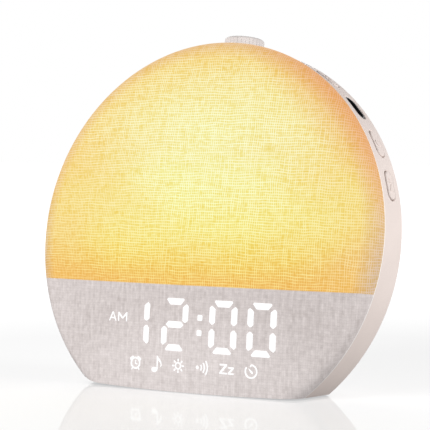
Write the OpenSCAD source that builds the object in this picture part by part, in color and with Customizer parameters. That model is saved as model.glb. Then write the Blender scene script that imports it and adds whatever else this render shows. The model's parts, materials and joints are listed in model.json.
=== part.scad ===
// Sunrise alarm clock: a leaning round lamp face on a flat base.
// World frame: +Z up, the face looks towards -Y, origin under the middle of the grip pad.
// Face frame, used by most pieces: X right, Y up along the face, Z out of the face (depth is negative).

/* [Round face] */
// Outer radius of the rim
rim_r = 87; // [80:0.5:105]
// Backward lean of the face, in degrees
lean = 10; // [6:0.5:12]
// Height of the flat cut above the lowest point of the full circle
base_cut = 19.6; // [16:0.2:22]
// Height of the fabric dome above the rim's front edge
crown = 13; // [10:0.5:16]
// Rounding where the dome meets the rim
edge_r = 6; // [5:0.5:8]
// Thickness of the stretched fabric
fabric_t = 0.8; // [0.5:0.1:1]
// Thickness of the diffuser and of the display mask
dome_t = 2; // [1.6:0.1:2.4]

/* [Casing] */
// Depth of the straight part of the rim
rim_flat = 15.5; // [15:0.5:18]
// Depth at which the housing meets the rear cover
housing_depth = 31; // [31:0.5:35]
// Depth of the rear cover's flat back
body_depth = 44; // [43:0.5:54]
// Inward slope of the casing behind the rim, in degrees
taper = 35; // [33:1:36]
// Rounding between the rim and the slope
corner_r = 5; // [4:0.5:6]
// Rounding between the slope and the flat back
back_r = 25.8; // [22:0.2:28]
// Wall of the casing
wall = 2.4; // [2:0.1:2.8]
// Rounding of the rim's front edge
lip = 0.6; // [0.4:0.1:0.8]

/* [Base] */
// How far the grip pad stands proud of the casing
base_gap = 0.8; // [0.6:0.1:1.2]
// Thickness of the base plate
base_t = 2.8; // [2.4:0.1:3.2]
// Length of the grip pad
pad_l = 64; // [50:1:66]
// Width of the grip pad
pad_w = 26; // [20:1:28]
// Thickness of the grip pad
pad_t = 2; // [1.6:0.1:2.2]

/* [Side controls] */
// Angle of the first control above the horizontal
first_angle = 17; // [16:0.5:18]
// Angle between neighbouring controls
pitch_angle = 13; // [12:0.5:14]
// Depth of the controls' centre line behind the front edge
control_depth = 9.2; // [9:0.1:9.6]
// Length of a button cap along the rim
cap_l = 12.6; // [10:0.1:13.2]
// Width of a button cap
cap_w = 6.2; // [5:0.1:6.6]
// Gap round a button cap
cap_gap = 0.4; // [0.3:0.05:0.5]
// Travel of a button
press = 0.5; // [0.3:0.1:0.8]
// Travel of the slide switch to each side
slide_half = 1.5; // [1:0.1:1.8]

/* [Dial] */
// Radius of the dial knob
dial_r = 9; // [7.5:0.1:9.6]
// Height of the dial knob's top above the rim radius
dial_rise = 5.4; // [4.8:0.1:6.5]
// Depth of the dial's axis behind the front edge
dial_depth = 16.5; // [15.5:0.1:18]
// Radius of the encoder shaft
shaft_r = 3; // [2.5:0.1:3.2]
// Travel of the dial when it is pressed
dial_press = 0.6; // [0.4:0.1:0.8]
// Number of flutes round the dial
flutes = 32; // [16:1:40]

/* [Display] */
// Height of the border between the lit and the unlit zone, from the face's centre
border_y = -21.5; // [-26:0.5:-20]
// Downward slope of the light divider towards the front, in degrees
divider_slope = 5; // [0:0.5:8]
// Height of the middle of the digits, from the face's centre
digit_y = -40; // [-42:0.5:-38]
// Distance between the left and right strokes of a digit
digit_w = 10.6; // [9:0.1:11]
// Distance between the top and middle strokes of a digit
digit_h = 10; // [9:0.1:10.5]
// Width of a stroke
stroke = 2.8; // [2:0.1:3]
// Height of the row of icons
icon_y = -57.6; // [-59:0.2:-56]
// Distance between icons
icon_pitch = 11.6; // [10:0.1:12]

/* [Speaker] */
// Radius of the speaker
speaker_r = 22.5; // [18:0.5:26]
// Height of the speaker's centre above the face's centre
speaker_y = 12; // [8:1:16]

/* [Hidden] */
$fn = 48;
round_n = 240;
corner_n = 6;
back_n = 12;
edge_n = 8;
crown_n = 14;

// Sizes that follow from the ones above
cut_box = 600;
face_z = base_gap + rim_r * cos(lean) - base_cut;
face_y = face_z * tan(lean) - body_depth / 2 / cos(lean);
base_top = base_gap + base_t;
inner_floor = base_top + 1;
inner_r = rim_r - wall;
fit = 0.2;

// Dome: an edge rounding that runs into a large crown radius
edge_c = rim_r - lip - edge_r;
edge_a = 90 - 2 * atan((crown - edge_r) / edge_c);
crown_r = edge_r + edge_c / cos(edge_a);
crown_w = -edge_c * tan(edge_a);
dome_in = fabric_t + dome_t;
skirt_d = 3;
skirt_t = 1.8;

// Casing: rim, corner rounding, straight slope, back rounding, flat back
corner_c = rim_r - corner_r;
corner_end_r = corner_c + corner_r * cos(taper);
corner_end_w = -rim_flat - corner_r * sin(taper);
slope_fall = corner_end_w + body_depth - back_r * (1 - sin(taper));
back_c = corner_end_r - slope_fall * tan(taper) - back_r * cos(taper);
back_w = -body_depth + back_r;
spigot_t = 1.2;
spigot_d = 2.5;
bury = 0.4;

// Stack of flat pieces, as depths of their faces
tray_w = -5.6;
tray_t = 1.4;
tray_r = inner_r - skirt_t - 2.3;
led_board_t = 1.4;
led_board_r = tray_r - 8.5;
tray_screw_r = tray_r - 4.5;
board_t = 1.6;
board_w = -control_depth - 3.4;
board_r = inner_r - 5.8;
display_board_w = tray_w;
display_board_r = tray_r - 4.5;

// Bosses that carry the main board in front and the rear cover behind
boss_r = 3.8;
boss_short = 0.4;
web_t = 2;
web_back = spigot_d + 0.5 - housing_depth;
web_front = board_w - board_t - 2;
boss_at = rim_r - 15.5;
boss_angles = [first_angle + 1.5 * pitch_angle, 180 - first_angle - 1.5 * pitch_angle, 218, 322];
lug_angles = [0, 70, 110, 180];
lug_w = 8;
lug_d = 5;
lug_in = 3.2;
floor_t = 3;

// Screws: large ones hold the casing and the main board, small ones the rest
screw_r = 1.2;
screw_gap = 0.05;
screw_clear = 0.3;
board_gap = 0.2;
head_r = 2.6;
head_h = 1.8;
well_gap = 0.6;
case_bite = 7;
board_bite = 6;
small_r = 1;
small_head_r = 2.1;
small_head_h = 1.4;
speaker_bite = 1;
base_sink = 1.6;
base_head_h = 1.4;
bite_end = 1;
tip_gap = 0.6;

// Side controls, as radii measured along their own axis
control_angles = [for (i = [0:3]) first_angle + i * pitch_angle];
button_angles = [control_angles[0], control_angles[1], control_angles[3]];
switch_angle = control_angles[2];
flange = 1.2;
flange_top = inner_r - 1.2;
flange_t = 1.8;
cap_proud = 0.35;
stem_r = 1.5;
tact_top = inner_r - 6;
tact_h = 4.6;
tact_w = 6;
stem_tip = tact_top - 1.4;
bezel_gap = 0.15;
bezel_sink = 0.2;
bezel_wall = 0.9;
bezel_in = cap_gap - bezel_gap - bezel_wall;
bezel_floor = inner_r - 4;
recess_floor = bezel_floor + 2.4;
knob_l = 4.4;
knob_w = cap_w - 2 * bezel_wall - 0.4;
knob_top = recess_floor + 2.8;
knob_stem = 1.8;
knob_float = 0.15;
knob_rib_r = 0.35;
knob_rib_pitch = 1.3;
slot_gap = 0.3;
slide_body_l = 9.2;

// Dial and encoder, as heights along the dial's axis
dial_top = rim_r + dial_rise;
dial_bottom = rim_r - 0.4;
seat_top = rim_r + 0.5;
seat_floor = rim_r - 1.6;
seat_under = seat_floor - 3;
seat_r = dial_r + 0.45;
collar_r = seat_r + 1.45;
encoder_w = 12;
encoder_h = 6.5;
encoder_bottom = seat_under - encoder_h;
cavity_r = encoder_w / 2 * sqrt(2) + 0.2;
nut_h = 1.8;
nut_r = 5.2;
nut_room = 1;
bushing_r = shaft_r + 0.6;
shaft_gap = 0.05;
hub_bottom = seat_floor + nut_h + dial_press + 0.4;
knob_roof = 1.6;
shaft_top = dial_top - knob_roof;
plunger_r = 3.8;
plunger_t = 1.2;
plunger_top = encoder_bottom + 3.3;
encoder_board_l = 15;
encoder_board_h = 13;
encoder_board_t = 1.2;
shoulder = 1.6;
flute_r = 0.5;
flute_out = 0.2;

// Digits and icons
digit_pitch = 18.6;
digit_x = [-25, -4.9, 19.3, 19.3 + digit_pitch];
stroke_gap = 0.9;
window_gap = 0.1;
colon_x = 7.7;
colon_half = 3.2;
icon_r = 1.9;
icon_x0 = -24.8;
am_x = -36.8;
am_y = -37.7;
am_l = 8;
am_h = 3.4;
board_split = 5.4;
colon_r = 1.2;
colon_up = 0.4;
guide_gap = 0.05;
divider_gap = 0.2;
divider_t = 1.6;

// LED packages, and what stands on the main board: place, size or radius, height
led_rings = 3.6;
led_l = 3;
led_w = 2.8;
led_h = 0.8;
led_free = 8;
chip_h = 1.4;
chip_list = [[-20, 8, 10, 10], [12, -8, 8, 5], [30, 26, 5, 6]];
can_list = [[-48, -6, 4, 7], [-48, -18, 3.2, 6]];
coil_x = 50;
coil_l = 12;
coil_h = 5;

// Parts on the rear cover
back_in = -(body_depth - wall);
ear_at = speaker_r + 2.7;
gasket_t = 0.8;
flange_s = 1.2;
cone_seat = 0.6;
basket_h = 13;
magnet_h = 8;
ear_r = 3.6;
magnet_back = gasket_t + flange_s + basket_h + magnet_h;
speaker_seat = 3.5;
cone_w = 4.1;
cap_r = 6;
cone_depth = 5.2;
cone_t = 0.6;
frame_in = 5;
socket_x = 26;
socket_in = 18.7;
socket_y = socket_in - back_c;
power_board_w = back_in + 14.6;
power_board_l = 72;
power_board_h = 16;
post_x = 10;
jack_bore_r = 2.8;
jack_nose_r = 3.85;
jack_w = 9;
jack_gap = 0.15;
jack_sink = 0.4;
pin_r = 1;
pin_sink = 1.4;
bore_end = 8;
usb_l = 12.6;
usb_h = 5.2;
usb_wall = 0.4;
usb_gap = 0.2;
usb_sink = 0.2;
tongue_l = 10.6;
tongue_h = 1.6;
tongue_up = 1;
tongue_sink = 1.6;
cell_at = [-36, 32];
cell_r = 10;
cell_top = 1.2;
cell_bottom = 4.4;
holder_r = 11.6;
holder_h = 4.8;
cell_gap = 0.1;
grille_pitch = 4;
grille_hole_r = 1.1;

// Base fixings
front_post_r = 2.6;
rear_post_r = 3;
half_chord = sqrt(pow(rim_r, 2) - pow(face_z / cos(lean), 2));
front_post_x = half_chord - 10;
rear_post_x = half_chord - 16;
rear_post_w = -24.5;
post_h = 8;
post_web = 20;
front_web_t = 1.8;
rear_web_t = 2;
web_short = 2;
ballast_l = 2 * rear_post_x - 14;
ballast_w = 13;
ballast_h = 6;

// Y of a plane of the face frame, at a height above the table
function plane_y(w, z) = face_y + (z - face_z) * tan(lean) - w / cos(lean);

function arc(cr, cw, r, a0, a1, n, skip = 0) =
    [for (i = [skip:n]) let (a = a0 + (a1 - a0) * i / n) [cr + r * cos(a), cw + r * sin(a)]];

function casing_line(d) = concat(
    arc(corner_c, -rim_flat, corner_r - d, 0, -taper, corner_n),
    arc(back_c, back_w, back_r - d, -taper, -90, back_n)
);

function dome_line(d) = concat(
    arc(edge_c, 0, edge_r - d, 0, edge_a, edge_n),
    arc(0, crown_w, crown_r - d, edge_a, 90, crown_n, 1)
);

// Radius of the sloped part of the casing at a depth, pulled in by d
function slope_r(w, d) = corner_end_r - (corner_end_w - w) * tan(taper) - d / cos(taper);

module in_face() {
    translate([0, face_y, face_z]) rotate([90 - lean, 0, 0]) children();
}

module above(z) {
    intersection() {
        children();
        translate([-cut_box / 2, -cut_box / 2, z]) cube(cut_box);
    }
}

// A control's own frame: Z outwards along the radius, Y along the rim, X to the back
module at_rim(angle) {
    rotate([0, 0, angle]) translate([0, 0, -control_depth]) rotate([0, 90, 0]) children();
}

module at_dial() {
    translate([0, 0, -dial_depth]) rotate([-90, 0, 0]) children();
}

module stadium(l, w) {
    square([w, l - w], center = true);
    for (s = [-1, 1]) translate([0, s * (l - w) / 2]) circle(d = w);
}

module prism(z0, z1) {
    translate([0, 0, z0]) linear_extrude(z1 - z0) children();
}

module rod(r, z0, z1) {
    translate([0, 0, z0]) cylinder(r = r, h = z1 - z0);
}

module block(x, y, z0, z1) {
    translate([-x / 2, -y / 2, z0]) cube([x, y, z1 - z0]);
}

module screw(shank, head, tall, depth) {
    rod(head, 0, tall);
    rod(shank, -depth, 0);
}

// Solid space inside the casing, pulled in by d, from the front plane backwards
module casing_space(d, front = 0) {
    rotate_extrude()
        polygon(concat([[0, front], [rim_r - d, front]], casing_line(d), [[0, -(body_depth - d)]]));
}

// Solid space under the dome, pulled in by d, from the back plane forwards
module dome_space(d, back = 0) {
    rotate_extrude() polygon(concat([[0, back], [edge_c + edge_r - d, back]], dome_line(d)));
}

module casing_2d() {
    difference() {
        polygon(concat([[0, 0]], arc(rim_r - lip, -lip, lip, 90, 0, 3), casing_line(0),
                       [[0, -body_depth]]));
        polygon(concat([[-1, 1], [inner_r, 1]], casing_line(wall), [[-1, -(body_depth - wall)]]));
    }
}

module lit_side(extra = 0) {
    translate([0, border_y + extra, 0]) rotate([-divider_slope, 0, 0])
        translate([-cut_box / 2, 0, -cut_box / 2]) cube(cut_box);
}

// ---- casing ----

module shell_part(w0, w1) {
    rotate_extrude() intersection() {
        casing_2d();
        translate([0, w0]) square([rim_r + 1, w1 - w0]);
    }
}

module bosses() {
    for (a = boss_angles) rotate([0, 0, a]) {
        translate([boss_at, 0, 0]) rod(boss_r, boss_short - housing_depth, board_w - board_t);
        translate([boss_at, -web_t / 2, web_back]) cube([rim_r - boss_at, web_t, web_front - web_back]);
    }
}

module boss_bores() {
    for (a = boss_angles) rotate([0, 0, a]) translate([boss_at, 0, 0]) {
        rod(screw_r + screw_gap, board_w - board_t - board_bite - bite_end, 1);
        rod(screw_r + screw_gap, -housing_depth - 1, -housing_depth + case_bite + bite_end);
    }
}

module lugs() {
    for (a = lug_angles) rotate([0, 0, a])
        translate([tray_screw_r - lug_in, -lug_w / 2, tray_w - lug_d])
            cube([inner_r - tray_screw_r + lug_in + bury, lug_w, lug_d]);
}

module collar() {
    at_dial() difference() {
        rod(collar_r, encoder_bottom + 1, seat_top);
        rod(cavity_r, 0, seat_under);
        rod(seat_r, seat_floor, dial_top);
        rod(bushing_r + screw_gap, 0, dial_top);
    }
}

module base_posts() {
    for (s = [-1, 1]) {
        translate([s * front_post_x, plane_y((tray_w + board_w) / 2, base_top + post_h / 2), 0]) {
            rod(front_post_r, base_top, base_top + post_h);
            translate([s > 0 ? 0 : -post_web, -front_web_t / 2, base_top])
                cube([post_web, front_web_t, post_h - web_short]);
        }
        translate([s * rear_post_x, plane_y(rear_post_w, base_top), 0]) {
            rod(rear_post_r, base_top, base_top + post_h);
            translate([s > 0 ? 0 : -post_web, -rear_web_t / 2, base_top])
                cube([post_web, rear_web_t, post_h - web_short]);
        }
    }
}

module base_screw_places() {
    for (s = [-1, 1]) {
        translate([s * front_post_x, plane_y((tray_w + board_w) / 2, base_top + post_h / 2), 0])
            children();
        translate([s * rear_post_x, plane_y(rear_post_w, base_top), 0]) children();
    }
}

module rim_housing() {
    color("antiquewhite") difference() {
        union() {
            above(base_gap) in_face() difference() {
                shell_part(-housing_depth, 1);
                at_dial() rod(cavity_r, 0, seat_under);
                at_dial() rod(seat_r, seat_floor, dial_top + 2);
                at_dial() rod(bushing_r + screw_gap, 0, dial_top);
                for (a = control_angles)
                    at_rim(a) prism(boss_at, rim_r + 2) stadium(cap_l + 2 * cap_gap, cap_w + 2 * cap_gap);
            }
            in_face() collar();
            above(inner_floor) in_face() intersection() {
                casing_space(wall / 2);
                union() {
                    bosses();
                    lugs();
                }
            }
            intersection() {
                in_face() casing_space(wall / 2);
                base_posts();
            }
        }
        in_face() boss_bores();
        in_face() for (a = lug_angles) rotate([0, 0, a]) translate([tray_screw_r, 0, 0])
            rod(small_r + screw_gap, tray_w - lug_d - 1, 1);
        base_screw_places() rod(screw_r + screw_gap, 0, base_top + post_h - bite_end);
    }
}

module rear_cover() {
    color("linen") difference() {
        union() {
            above(base_gap) in_face() shell_part(-body_depth - 1, -housing_depth);
            above(inner_floor) in_face() difference() {
                spigot();
                for (a = boss_angles) rotate([0, 0, a]) translate([boss_at, 0, 0])
                    rod(boss_r + 0.3, -body_depth, 0);
            }
            above(inner_floor) in_face() intersection() {
                casing_space(wall - bury);
                cover_bosses();
            }
        }
        in_face() {
            for (a = boss_angles) rotate([0, 0, a]) translate([boss_at, 0, 0]) {
                rod(head_r + well_gap, -body_depth - 1, -housing_depth - floor_t);
                rod(screw_r + screw_clear, -body_depth - 1, 0);
            }
            for (s = [-1, 1]) translate([s * post_x, socket_y, 0])
                rod(small_r + screw_gap, back_in, 0);
            for (a = [45:90:315]) translate([0, speaker_y, 0]) rotate([0, 0, a])
                translate([ear_at, 0, 0]) rod(small_r + screw_gap, back_in - wall / 2, 0);
            grille_holes();
            translate([-socket_x, socket_y, 0]) rod(jack_nose_r + jack_gap, -body_depth - 1, back_in + 1);
            translate([socket_x, socket_y, 0])
                block(usb_l + 2 * usb_gap, usb_h + 2 * usb_gap, -body_depth - 1, back_in + 1);
        }
    }
}

// Thin ring that centres the rear cover in the housing, rooted just below the joint
module spigot() {
    back = -housing_depth - 1.6;
    root = -housing_depth - 0.2;
    front = -housing_depth + spigot_d;
    rotate_extrude() polygon([
        [slope_r(back, wall - bury), back], [slope_r(root, wall - bury), root],
        [slope_r(root, wall + fit), root], [slope_r(front, wall + fit), front],
        [slope_r(front, wall + fit + spigot_t), front], [slope_r(back, wall + fit + spigot_t), back]
    ]);
}

module cover_bosses() {
    for (a = boss_angles) rotate([0, 0, a]) translate([boss_at, 0, 0])
        rod(boss_r + 0.8, -body_depth, -housing_depth);
    for (s = [-1, 1]) translate([s * post_x, socket_y, 0])
        rod(3, -body_depth, power_board_w - board_t);
    for (a = [45:90:315]) translate([0, speaker_y, 0]) rotate([0, 0, a])
        translate([ear_at, 0, 0]) rod(2.6, -body_depth, back_in + gasket_t);
}

module grille_holes() {
    reach = speaker_r - 4.5;
    rows = ceil(reach / grille_pitch) + 1;
    for (i = [-rows:rows], j = [-rows:rows]) {
        x = grille_pitch * (i + j / 2);
        y = grille_pitch * j * sqrt(3) / 2;
        if (x * x + y * y <= reach * reach)
            translate([x, speaker_y + y, 0]) rod(grille_hole_r, -body_depth - 1, back_in + 1);
    }
}

module base_plate() {
    color("dimgray") difference() {
        intersection() {
            block(cut_box, cut_box, base_gap, base_top);
            in_face() union() {
                casing_space(wall + fit);
                dome_space(dome_in + fit, -0.1);
            }
        }
        pad_shape(fit, pad_t);
        base_screw_places() {
            rod(screw_r + screw_clear, 0, base_top + 1);
            rod(head_r + screw_clear, 0, base_gap + base_sink);
        }
    }
}

module pad_shape(extra, top) {
    prism(0, top) rotate(90) stadium(pad_l + 2 * extra, pad_w + 2 * extra);
}

module grip_pad() {
    color("darkgray") pad_shape(0, pad_t);
}

module ballast() {
    color("slategray")
        translate([0, plane_y(board_w - board_t, base_top) + ballast_w / 2 + 3, 0])
            block(ballast_l, ballast_w, base_top, base_top + ballast_h);
}

// ---- front ----

module fabric_cover() {
    color("moccasin") above(base_gap) in_face() difference() {
        dome_space(0);
        dome_space(fabric_t, -1);
    }
}

module dome_shell() {
    difference() {
        union() {
            difference() {
                dome_space(fabric_t);
                dome_space(dome_in, -1);
            }
            rod(inner_r - fit, -skirt_d, 0.01);
        }
        rod(inner_r - fit - skirt_t, -skirt_d - 1, 0.02);
        dome_space(dome_in, -0.01);
    }
}

module diffuser() {
    color("ivory") in_face() intersection() {
        dome_shell();
        lit_side();
    }
}

module display_mask() {
    color("dimgray") difference() {
        above(base_gap) in_face() difference() {
            dome_shell();
            lit_side(0);
            glyph_prisms(window_gap);
        }
        intersection() {
            block(cut_box, cut_box, 0, inner_floor);
            in_face() rod(cut_box, -skirt_d - 1, 0);
        }
    }
}

module light_divider() {
    color("white") in_face() intersection() {
        dome_space(dome_in + fit, tray_w + tray_t);
        difference() {
            lit_side(-divider_gap - divider_t);
            lit_side(-divider_gap);
        }
        rod(tray_r, tray_w + tray_t, cut_box);
    }
}

module light_tray() {
    color("white") in_face() difference() {
        intersection() {
            union() {
                rod(tray_r, tray_w, tray_w + tray_t);
                difference() {
                    rod(tray_r, tray_w, 1);
                    rod(tray_r - tray_t, tray_w - 1, 2);
                }
            }
            lit_side(0);
        }
        for (a = lug_angles) rotate([0, 0, a]) translate([tray_screw_r, 0, 0])
            rod(small_r + screw_clear, tray_w - 1, 2);
    }
}

module led_board() {
    color("whitesmoke") in_face() intersection() {
        rod(led_board_r, tray_w + tray_t, tray_w + tray_t + led_board_t);
        lit_side(2);
    }
}

// LED packages on rings, where the lit zone has room for them
module leds() {
    top = tray_w + tray_t + led_board_t;
    color("gold") in_face() for (ring = [0:3]) {
        r = ring * led_board_r / led_rings;
        n = ring == 0 ? 1 : 6 * ring;
        for (i = [0:n - 1]) {
            a = 90 + i * 360 / n;
            if (r * sin(a) > border_y + led_free)
                translate([r * cos(a), r * sin(a), 0]) block(led_l, led_w, top, top + led_h);
        }
    }
}

module display_board() {
    color("seagreen") above(inner_floor) in_face() intersection() {
        rod(display_board_r, display_board_w, display_board_w + board_t);
        translate([-cut_box / 2, border_y - board_split - cut_box, -cut_box / 2]) cube(cut_box);
    }
}

module stroke_2d(l, w) {
    polygon([[-l / 2, 0], [-l / 2 + w / 2, w / 2], [l / 2 - w / 2, w / 2], [l / 2, 0],
             [l / 2 - w / 2, -w / 2], [-l / 2 + w / 2, -w / 2]]);
}

module digit_2d(extra) {
    l = digit_h - stroke_gap + 2 * extra;
    lx = digit_w - stroke_gap + 2 * extra;
    for (k = [-1:1]) translate([0, k * digit_h]) stroke_2d(lx, stroke + 2 * extra);
    for (s = [-1, 1], k = [-0.5, 0.5])
        translate([s * digit_w / 2, k * digit_h]) rotate(90) stroke_2d(l, stroke + 2 * extra);
}

// Straight light pipes behind the digits, and the same shapes as windows
module digit_prisms(extra) {
    prism(display_board_w + board_t, crown + 1) {
        for (x = digit_x) translate([x, digit_y]) digit_2d(extra);
        for (s = [-1, 1]) translate([colon_x, digit_y + colon_up + s * colon_half])
            circle(r = colon_r + extra);
    }
}

module icon_prisms(extra) {
    prism(display_board_w + board_t, crown + 1) {
        for (i = [0:5]) translate([icon_x0 + i * icon_pitch, icon_y]) circle(r = icon_r + extra);
        translate([am_x, am_y]) rotate(90) stadium(am_l + 2 * extra, am_h + 2 * extra);
    }
}

module glyph_prisms(extra) {
    digit_prisms(extra);
    icon_prisms(extra);
}

module digit_guides() {
    color("white") in_face() intersection() {
        digit_prisms(0);
        dome_space(fabric_t + guide_gap, -cut_box);
    }
}

module icon_guides() {
    color("white") in_face() intersection() {
        icon_prisms(0);
        dome_space(fabric_t + guide_gap, -cut_box);
    }
}

// ---- boards inside ----

module main_board() {
    color("seagreen") above(inner_floor) in_face() difference() {
        rod(board_r, board_w - board_t, board_w);
        translate([0, encoder_bottom + 7, 0]) block(2 * collar_r + 1, 20, board_w - 5, board_w + 5);
        for (a = boss_angles) rotate([0, 0, a]) translate([boss_at, 0, 0])
            rod(screw_r + board_gap, board_w - 5, board_w + 1);
        base_post_notch();
    }
}

module base_post_notch() {
    for (s = [-1, 1]) translate([s * front_post_x, -cut_box / 2 - face_z + 16, 0])
        block(2 * front_post_r + 2, cut_box, board_w - 5, board_w + 5);
}

module chips() {
    color("black") in_face() {
        for (c = chip_list) translate([c[0], c[1], 0]) block(c[2], c[3], board_w, board_w + chip_h);
        for (c = can_list) translate([c[0], c[1], 0]) rod(c[2], board_w - board_t - c[3], board_w - board_t);
        translate([coil_x, 0, 0]) block(coil_l, coil_l, board_w - board_t - coil_h, board_w - board_t);
    }
}

module tact_switch(i) {
    color("dimgray") in_face() at_rim(button_angles[i]) difference() {
        translate([-tact_w / 2, -tact_w / 2, tact_top - tact_h])
            cube([-board_w - control_depth + tact_w / 2, tact_w, tact_h]);
        rod(stem_r + slot_gap, stem_tip - press - slot_gap, tact_top + 1);
    }
}

module side_button(i) {
    color("antiquewhite") in_face() {
        intersection() {
            at_rim(button_angles[i]) prism(flange_top, rim_r + 2) stadium(cap_l, cap_w);
            rod(rim_r + cap_proud, -rim_flat, 0, $fn = round_n);
        }
        at_rim(button_angles[i]) {
            prism(flange_top - flange_t, flange_top) stadium(cap_l + 2 * flange, cap_w + 2 * flange);
            rod(stem_r, stem_tip, flange_top - flange_t);
        }
    }
}

module switch_bezel() {
    color("black") in_face() difference() {
        union() {
            intersection() {
                at_rim(switch_angle) prism(bezel_floor, rim_r + 2)
                    stadium(cap_l + 2 * cap_gap - 2 * bezel_gap, cap_w + 2 * cap_gap - 2 * bezel_gap);
                rod(rim_r - bezel_sink, -rim_flat, 0, $fn = round_n);
            }
            at_rim(switch_angle) prism(bezel_floor, flange_top)
                stadium(cap_l + 2 * flange, cap_w + 2 * flange);
        }
        at_rim(switch_angle) {
            prism(recess_floor, rim_r + 3)
                stadium(cap_l + 2 * bezel_in, cap_w + 2 * bezel_in);
            prism(bezel_floor - 1, recess_floor + 1)
                square([knob_stem + 2 * slot_gap, knob_stem + 2 * slot_gap + 2 * slide_half], center = true);
        }
    }
}

module switch_knob() {
    color("darkslategray") in_face() at_rim(switch_angle) {
        difference() {
            prism(recess_floor + knob_float, knob_top) square([knob_w, knob_l], center = true);
            for (k = [-1:1]) translate([0, k * knob_rib_pitch, knob_top]) rotate([0, 90, 0])
                cylinder(r = knob_rib_r, h = knob_w + 1, center = true);
        }
        prism(tact_top - 1, recess_floor + knob_float)
            square([knob_stem, knob_stem], center = true);
    }
}

module slide_switch() {
    color("silver") in_face() at_rim(switch_angle) difference() {
        translate([-tact_w / 2, -slide_body_l / 2, tact_top - tact_h])
            cube([-board_w - control_depth + tact_w / 2, slide_body_l, tact_h]);
        prism(tact_top - 1 - slot_gap, tact_top + 1)
            square([knob_stem + 2 * slot_gap, knob_stem + 2 * slot_gap + 2 * slide_half], center = true);
    }
}

// ---- dial ----

module dial_knob() {
    color("antiquewhite") in_face() at_dial() difference() {
        rotate_extrude() difference() {
            polygon(concat([[0, dial_bottom], [dial_r, dial_bottom]],
                           arc(dial_r - shoulder, dial_top - shoulder, shoulder, 0, 90, 4),
                           [[0, dial_top]]));
            translate([shaft_r, dial_bottom - 1])
                square([nut_r + nut_room - shaft_r, hub_bottom - dial_bottom + 1]);
            square([shaft_r, shaft_top]);
        }
        for (i = [0:flutes - 1]) rotate([0, 0, i * 360 / flutes]) translate([dial_r + flute_out, 0, 0])
            rod(flute_r, dial_bottom - 1, dial_top - shoulder / 2);
    }
}

module encoder_nut() {
    color("silver") in_face() at_dial() difference() {
        translate([0, 0, seat_floor]) cylinder(r = nut_r, h = nut_h, $fn = 6);
        rod(bushing_r + screw_gap, 0, dial_top);
    }
}

module encoder_bushing() {
    color("gainsboro") in_face() at_dial() difference() {
        rod(bushing_r, seat_under, seat_floor + nut_h);
        rod(shaft_r + shaft_gap, 0, dial_top);
    }
}

module encoder_shaft() {
    color("silver") in_face() at_dial() rod(shaft_r, plunger_top, shaft_top);
}

module encoder_plunger() {
    color("black") in_face() at_dial() rod(plunger_r, plunger_top - plunger_t, plunger_top);
}

module encoder_body() {
    color("slategray") in_face() at_dial() difference() {
        block(encoder_w, encoder_w, encoder_bottom, seat_under);
        rod(plunger_r + slot_gap, encoder_bottom + 1, plunger_top + 2 * slot_gap);
        rod(shaft_r + slot_gap, encoder_bottom + 1, dial_top);
    }
}

module encoder_board() {
    color("seagreen") in_face() at_dial()
        block(encoder_board_l, encoder_board_h, encoder_bottom - encoder_board_t, encoder_bottom);
}

// ---- speaker, power and cell ----

module at_speaker() {
    translate([0, speaker_y, back_in]) children();
}

module speaker_gasket() {
    color("black") in_face() at_speaker() rotate_extrude()
        translate([speaker_r - speaker_seat, 0]) square([speaker_seat, gasket_t]);
}

module speaker_frame() {
    seat = gasket_t + cone_seat;
    back = gasket_t + flange_s;
    color("dimgray") in_face() at_speaker() {
        difference() {
            prism(gasket_t, back) difference() {
                union() {
                    circle(speaker_r);
                    for (a = [45:90:315]) rotate(a) translate([ear_at, 0]) circle(ear_r);
                }
                for (a = [45:90:315]) rotate(a) translate([ear_at, 0]) circle(small_r + board_gap);
                circle(speaker_r - frame_in);
            }
            rod(speaker_r - 4, 0, seat);
        }
        rotate_extrude() polygon([
            [speaker_r - frame_in, back], [speaker_r - 2.6, back], [speaker_r - 9.5, back + basket_h],
            [0, back + basket_h], [0, back + basket_h - flange_s],
            [speaker_r - 11.5, back + basket_h - flange_s]
        ]);
    }
}

module speaker_cone() {
    rim = speaker_r - cone_w;
    top = gasket_t + cone_seat;
    low = top + cone_depth;
    color("black") in_face() at_speaker() rotate_extrude()
        polygon([[0, low], [cap_r, low], [rim - 2, top - 0.5], [rim, top - 0.5], [rim, top],
                 [rim - 1.7, top], [cap_r + cone_t / 2, low + cone_t], [0, low + cone_t]]);
}

module speaker_magnet() {
    color("slategray") in_face() at_speaker()
        rod(speaker_r - 10, magnet_back - magnet_h, magnet_back);
}

module power_board() {
    color("seagreen") in_face() difference() {
        translate([0, socket_y, 0])
            block(power_board_l, power_board_h, power_board_w - board_t, power_board_w);
        for (s = [-1, 1]) translate([s * post_x, socket_y, 0])
            rod(small_r + board_gap, power_board_w - 5, power_board_w + 1);
    }
}

module at_jack() {
    translate([-socket_x, socket_y, 0]) children();
}

module power_jack() {
    color("black") in_face() at_jack() difference() {
        union() {
            block(jack_w, jack_w + 1, back_in, power_board_w - board_t);
            rod(jack_nose_r, -body_depth + jack_sink, back_in + 1);
        }
        rod(jack_bore_r, -body_depth - 1, back_in + bore_end);
    }
}

module power_jack_pin() {
    color("silver") in_face() at_jack() rod(pin_r, -body_depth + pin_sink, back_in + bore_end);
}

module usb_shell() {
    color("silver") in_face() translate([socket_x, socket_y, 0]) difference() {
        block(usb_l, usb_h, -body_depth + usb_sink, power_board_w - board_t);
        block(usb_l - 2 * usb_wall, usb_h - 2 * usb_wall, -body_depth - 1, power_board_w - board_t - 1);
    }
}

module usb_tongue() {
    color("white") in_face() translate([socket_x, socket_y + tongue_up, 0])
        block(tongue_l, tongue_h, -body_depth + tongue_sink, power_board_w - board_t - 1);
}

module at_cell() {
    translate([cell_at[0], cell_at[1], board_w - board_t]) children();
}

module coin_cell() {
    color("silver") in_face() at_cell() rod(cell_r, -cell_bottom, -cell_top);
}

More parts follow.
